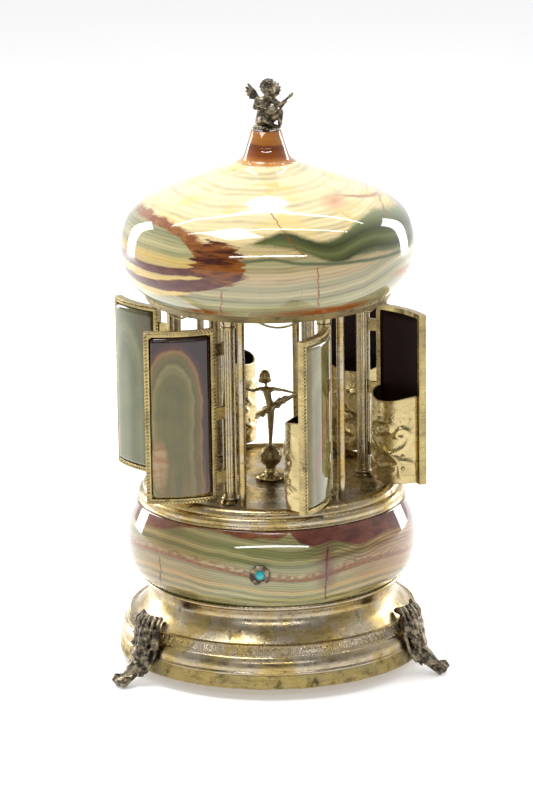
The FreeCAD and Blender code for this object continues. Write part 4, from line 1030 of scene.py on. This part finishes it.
# ---- cast figures and feet ----------------------------------------------------------
def foot_mesh():
    """A cast foot facing +X: rows of curled leaves over a swelling, and an outward scroll for a toe."""
    none = (0, 0, 0)
    parts = [((75.0, 0, 22.5), (5.6, 8.2, 8.6), none), ((79.0, 0, 14.0), (4.6, 6.6, 7.0), none),
             ((68.0, 0, 30.0), (74.0, 0, 30.0), 1.4, 3.2), ((83.0, 0, 9.0), (88.5, 0, 4.6), 4.0, 2.9),
             ((88.5, 0, 4.6), (93.0, 0, 2.8), 2.9, 2.4)]
    for k in range(6):
        z, front, step = 31.5 - 4.6 * k, 77.6 + 1.35 * k, 3.0 - 0.28 * k
        for j in range(-3, 4):
            back, y = 0.42 * abs(j) ** 1.6, j * step
            bends = [(front - 2.4 - back, 0.86 * y, z + 1.8), (front + 0.3 - back, y, z - 0.6),
                     (front + 1.2 - back, 1.08 * y + 0.4, z - 3.0),
                     (front + 2.3 - back, 1.08 * y - 0.5, z - 3.4)]
            for p, q, r in zip(bends, bends[1:], (1.25, 1.05, 0.75)):
                parts.append((p, q, r, r - 0.25))
    for side in (-1, 1):
        parts.append(((86.0, side * 2.6, 5.6), (92.0, side * 3.6, 2.6), 1.6, 1.5))
        volute = [(92.0 + 2.2 * math.cos(a), side * 3.4, 3.4 + 2.0 * math.sin(a))
            for a in (-1.2, 0.0, 1.2, 2.4, 3.4)]
        parts += [(p, q, 1.15, 0.95) for p, q in zip(volute, volute[1:])]
        edge = [(73.5, side * 6.6, 31.0), (76.2, side * 9.2, 26.0), (76.8, side * 9.6, 20.0),
            (78.4, side * 8.0, 13.0), (81.4, side * 6.0, 7.0)]
        parts += [(p, q, 1.2, 1.0) for p, q in zip(edge, edge[1:])]
    return sculpted("foot", parts, 0.40)


def feet():
    shape = foot_mesh()
    for name, azimuth in FOOT_AZIMUTHS.items():
        mesh = shape.copy()
        mesh.transform(azimuth_turn(azimuth))
        place_piece(name + "_casting", mesh, MATERIAL["antique_bronze"], "base", [name])


def cherub():
    z = CHERUB_SEAT
    none = (0, 0, 0)
    parts = [
        ((0, 0, z + 0.9), (6.5, 6.5, 0.8), none), ((0, 0, z + 1.8), (5.6, 5.6, 1.4), none),
        ((-1.2, 0.6, z + 4.6), (-0.3, 0.0, z + 13.2), 4.1, 3.3),
        ((0.0, -0.2, z + 14.6), (4.3, 2.6, 2.0), none),
        ((0.6, -0.4, z + 15.6), (1.3, -0.7, z + 18.4), 1.9, 1.7),
        ((1.5, -0.8, z + 21.2), (3.6, 3.6, 3.8), (14, 14, 0)),
        ((3.4, -3.2, z + 19.4), (1.2, 1.2, 1.2), none), ((0.7, -3.7, z + 19.2), (1.2, 1.2, 1.2), none),
        ((2.3, -3.6, z + 18.1), (1.1, 1.0, 0.9), none), ((2.5, -4.5, z + 20.2), (0.5, 0.7, 0.6), none),
        ((2.0, -3.7, z + 21.9), (1.9, 1.0, 0.8), none),
        ((-3.0, -0.6, z + 4.4), (-1.2, -4.8, z + 6.0), 2.5, 2.0),
        ((-1.2, -4.8, z + 6.0), (3.4, -4.8, z + 2.9), 1.7, 1.2),
        ((3.4, -4.8, z + 2.6), (5.6, -5.0, z + 2.4), 1.0, 0.8),
        ((2.0, -0.8, z + 5.0), (7.0, -3.0, z + 9.0), 2.6, 1.9),
        ((7.0, -3.0, z + 9.0), (6.9, -3.4, z + 3.2), 1.7, 1.1),
        ((6.9, -3.4, z + 2.7), (6.6, -5.4, z + 2.3), 1.0, 0.8),
        ((-3.6, -0.2, z + 14.8), (-5.0, -1.8, z + 11.6), 1.8, 1.5),
        ((-5.0, -1.8, z + 11.6), (1.4, -4.9, z + 10.4), 1.4, 1.0),
        ((3.8, -0.6, z + 14.4), (7.4, -2.8, z + 12.2), 1.7, 1.3),
        ((7.4, -2.8, z + 12.2), (9.6, -4.6, z + 14.8), 1.2, 1.0),
        ((3.0, -5.2, z + 10.4), (3.5, 1.3, 2.5), (0, -38, 0)),
        ((5.4, -5.4, z + 12.2), (12.4, -5.0, z + 17.6), 0.7, 0.55),
        ((12.2, -5.0, z + 17.5), (13.0, -4.4, z + 18.3), 1.0, 0.7)]
    draw = random.Random(3)
    for k in range(90):
        a, b = draw.uniform(0, 2 * math.pi), draw.uniform(-0.9, 1.5)
        spot = (1.5 + 3.7 * math.cos(a) * math.cos(b), -0.6 + 3.6 * math.sin(a) * math.cos(b),
            z + 21.3 + 3.4 * math.sin(b))
        if spot[1] > -2.0 or spot[2] > z + 23.0:
            parts.append((spot, (0.85, 0.85, 0.75), none))
    for root, tips in (((-2.8, 2.2, z + 13.6),
            [(-8.4, 22.0), (-9.3, 20.4), (-9.4, 18.6), (-8.8, 16.9), (-7.6, 15.4)]),
                       ((2.6, 2.6, z + 14.0), [(6.2, 22.0), (7.0, 20.4), (7.0, 18.8), (6.4, 17.2)])):
        for x, lift in tips:
            middle = ((root[0] + x) / 2, 2.8, (root[2] + z + lift) / 2 + 0.8)
            parts.append((root, middle, 1.1, 1.0))
            parts.append((middle, (x, 3.0, z + lift), 1.0, 0.6))
    for k in range(22):
        a = 2 * math.pi * k / 22
        parts.append(((6.0 * math.cos(a), 6.0 * math.sin(a), z + 1.2), (0.75, 0.75, 0.7), none))
    place_piece("cherub_casting", sculpted("cherub_casting", parts, 0.22), MATERIAL["antique_bronze"],
        "dome", ["cherub"])


def ballerina():
    z = FLOOR_TOP + 0.3
    none = (0, 0, 0)
    body = [
        ((0, 0, z + 16.6), (0.3, 0, z + 26.4), 0.8, 1.35),
        ((0.3, 0, z + 26.4), (0.4, 0, z + 35.4), 1.45, 2.1), ((0.4, 0, z + 37.0), (2.3, 1.9, 1.8), none),
        ((0.2, 0, z + 37.6), (-0.7, 0, z + 41.0), 2.0, 1.7),
        ((-0.7, 0, z + 41.0), (-1.3, 0, z + 45.0), 1.7, 2.2),
        ((-1.3, 0, z + 45.8), (3.7, 1.6, 1.5), (0, 6, 0)),
        ((-1.5, 0, z + 46.8), (-2.0, 0, z + 49.6), 0.75, 0.7),
        ((-2.3, 0.1, z + 51.9), (1.8, 2.1, 2.5), none), ((-2.3, -0.3, z + 52.8), (2.9, 2.6, 3.2), none),
        ((-2.3, -0.1, z + 50.6), (3.4, 2.0, 1.6), none),
        ((-3.8, 0, z + 46.4), (-8.4, 0.2, z + 45.2), 1.0, 0.75),
        ((-8.4, 0.2, z + 45.2), (-12.4, 0.3, z + 46.4), 0.75, 0.55),
        ((-12.4, 0.3, z + 46.4), (-13.0, 0.0, z + 47.0), 0.5, 0.4),
        ((1.2, 0, z + 46.2), (6.6, -0.3, z + 45.4), 1.0, 0.75),
        ((6.6, -0.3, z + 45.4), (13.4, -0.6, z + 43.6), 0.75, 0.5),
        ((1.6, 0, z + 37.0), (9.6, -0.4, z + 41.4), 1.6, 1.1),
        ((9.6, -0.4, z + 41.4), (17.6, -0.6, z + 45.4), 1.05, 0.5)]
    figure = sculpted("figure", body, 0.2)

    def tutu(lift):
        def point(u, v):
            a = 2 * math.pi * u
            reach = 1.6 + 6.9 * v
            frill = 0.55 * v * math.sin(13 * a)
            x, y = reach * 1.15 * math.cos(a), reach * 0.85 * math.sin(a)
            return Vector((0.7 + x * 0.87, y, z + 37.2 + lift + x * 0.50 + frill - 0.6 * v))
        return point

    skirt = sheet_mesh("tutu", 10, 120, tutu(0.55), tutu(-0.55))
    lower = [(7.1, z), (7.2, z + 0.6)] + smooth_curve([(6.7, z + 1.2), (4.8, z + 2.2), (3.0, z + 3.8),
        (2.5, z + 5.6), (3.2, z + 6.8)], 6) + [(1.7, z + 6.9), (1.7, z)]
    stand = lathe("stand", lower, 96, lambda angle, i: 0.28 * math.sin(12 * angle) if i < 6 else 0.0)
    ball = round_ball("ball", (0, 0, z + 11.6), 5.7, 64, 40)
    place_piece("dancer", joined("dancer", [figure, skirt]), MATERIAL["figure_gilt"], "barrel",
        ["ballerina"])
    place_piece("dancer_stand", joined("dancer_stand", [stand, ball]), MATERIAL["hammered_gilt"], "barrel")


# ---- CAD nodes that stay ------------------------------------------------------------
def finish_cad_nodes():
    slots = {s["node"]: s["material_slot"] for s in frame["record"]["subparts"]}
    special = {"dome_ring": "rim_gilt", "button_bezel": "antique_bronze"}
    for name, node in frame["nodes"].items():
        chosen = special.get(name, slots[name])
        material = ONYX_DOORS[0] if chosen == "onyx_door" else MATERIAL[chosen]
        for slot in node.material_slots:
            slot.material = material


# ---- stage --------------------------------------------------------------------------
def area_light(name, place, target, width, height, power):
    light = bpy.data.lights.new(name, "AREA")
    light.shape, light.size, light.size_y, light.energy = "RECTANGLE", width, height, power
    lamp = bpy.data.objects.new(name, light)
    lamp.location = place
    lamp.rotation_euler = (Vector(target) - Vector(place)).to_track_quat("-Z", "Y").to_euler()
    bpy.context.scene.collection.objects.link(lamp)


def stage():
    shader = Shader("white_floor")
    tone = shader.mix(shader.noise(400.0, 2.0), (0.93, 0.93, 0.93), (0.95, 0.95, 0.95))
    shader.set(Base_Color=tone, Roughness=0.9, Emission_Color=(1.0, 1.0, 1.0, 1.0), Emission_Strength=0.30)
    mesh = bpy.data.meshes.new("floor")
    mesh.from_pydata([(-6, -6, 0), (6, -6, 0), (6, 6, 0), (-6, 6, 0)], [], [(0, 1, 2, 3)])
    floor = bpy.data.objects.new("floor", mesh)
    mesh.materials.append(shader.material)
    bpy.context.scene.collection.objects.link(floor)
    world = bpy.data.worlds.new("studio")
    bpy.context.scene.world = world
    world.use_nodes = True
    nodes, links = world.node_tree.nodes, world.node_tree.links
    background = nodes["Background"]
    background.inputs["Strength"].default_value = 1.0
    direction = nodes.new("ShaderNodeTexCoord")
    split = nodes.new("ShaderNodeSeparateXYZ")
    links.new(direction.outputs["Generated"], split.inputs[0])
    room = nodes.new("ShaderNodeValToRGB")
    shade = nodes.new("ShaderNodeMapRange")
    links.new(split.outputs["Y"], shade.inputs["Value"])
    shade.inputs["From Min"].default_value, shade.inputs["From Max"].default_value = -0.9, 0.7
    links.new(shade.outputs[0], room.inputs[0])
    room.color_ramp.elements[0].color = (0.12, 0.12, 0.125, 1.0)
    room.color_ramp.elements[1].color = (1.0, 1.0, 1.0, 1.0)
    links.new(room.outputs[0], background.inputs["Color"])
    middle = (0, 0, 0.15)
    area_light("softbox_left", (-1.0, 0.85, 0.45), middle, 0.35, 1.0, 9.0)
    area_light("softbox_right", (1.0, 0.85, 0.45), middle, 0.35, 1.0, 9.0)
    area_light("strip_front", (0.0, -1.2, 0.70), middle, 1.4, 0.03, 3.5)
    area_light("strip_top", (0.0, 0.1, 1.2), middle, 1.6, 0.03, 2.5)
    area_light("strip_back", (0.0, 0.6, 1.2), middle, 1.6, 0.03, 2.0)
    area_light("softbox_top", (-0.30, -0.10, 1.2), middle, 0.5, 0.4, 6.0)


def camera():
    """The picture's view: 180 mm lens, 2 m away, 15.1 degrees down, turned a little on its axis."""
    distance, down, roll, aim_height = 2.0, math.radians(15.14), math.radians(0.8), 0.1163
    lens = bpy.data.cameras.new("camera")
    lens.sensor_fit, lens.sensor_height, lens.lens = "VERTICAL", 36.0, 180.0
    lens.clip_end = 20.0
    lens.shift_x, lens.shift_y = -0.0046, 0.0375
    eye = bpy.data.objects.new("camera", lens)
    turn = Matrix.Rotation(math.pi / 2 - down, 4, "X") @ Matrix.Rotation(-roll, 4, "Z")
    away = Vector((0, -math.cos(down), math.sin(down))) * distance
    eye.matrix_world = Matrix.Translation(Vector((0, 0, aim_height)) + away) @ turn
    bpy.context.scene.collection.objects.link(eye)
    bpy.context.scene.camera = eye
    bpy.context.scene.view_settings.view_transform = "Standard"


camera()
stage()
ONYX_DOORS = [door_stone(bay) for bay in range(BAYS)]
finish_cad_nodes()
base_pieces()
drum_and_floor()
dome_pieces()
garlands()
button_spring()
doors()
feet()
cherub()
ballerina()
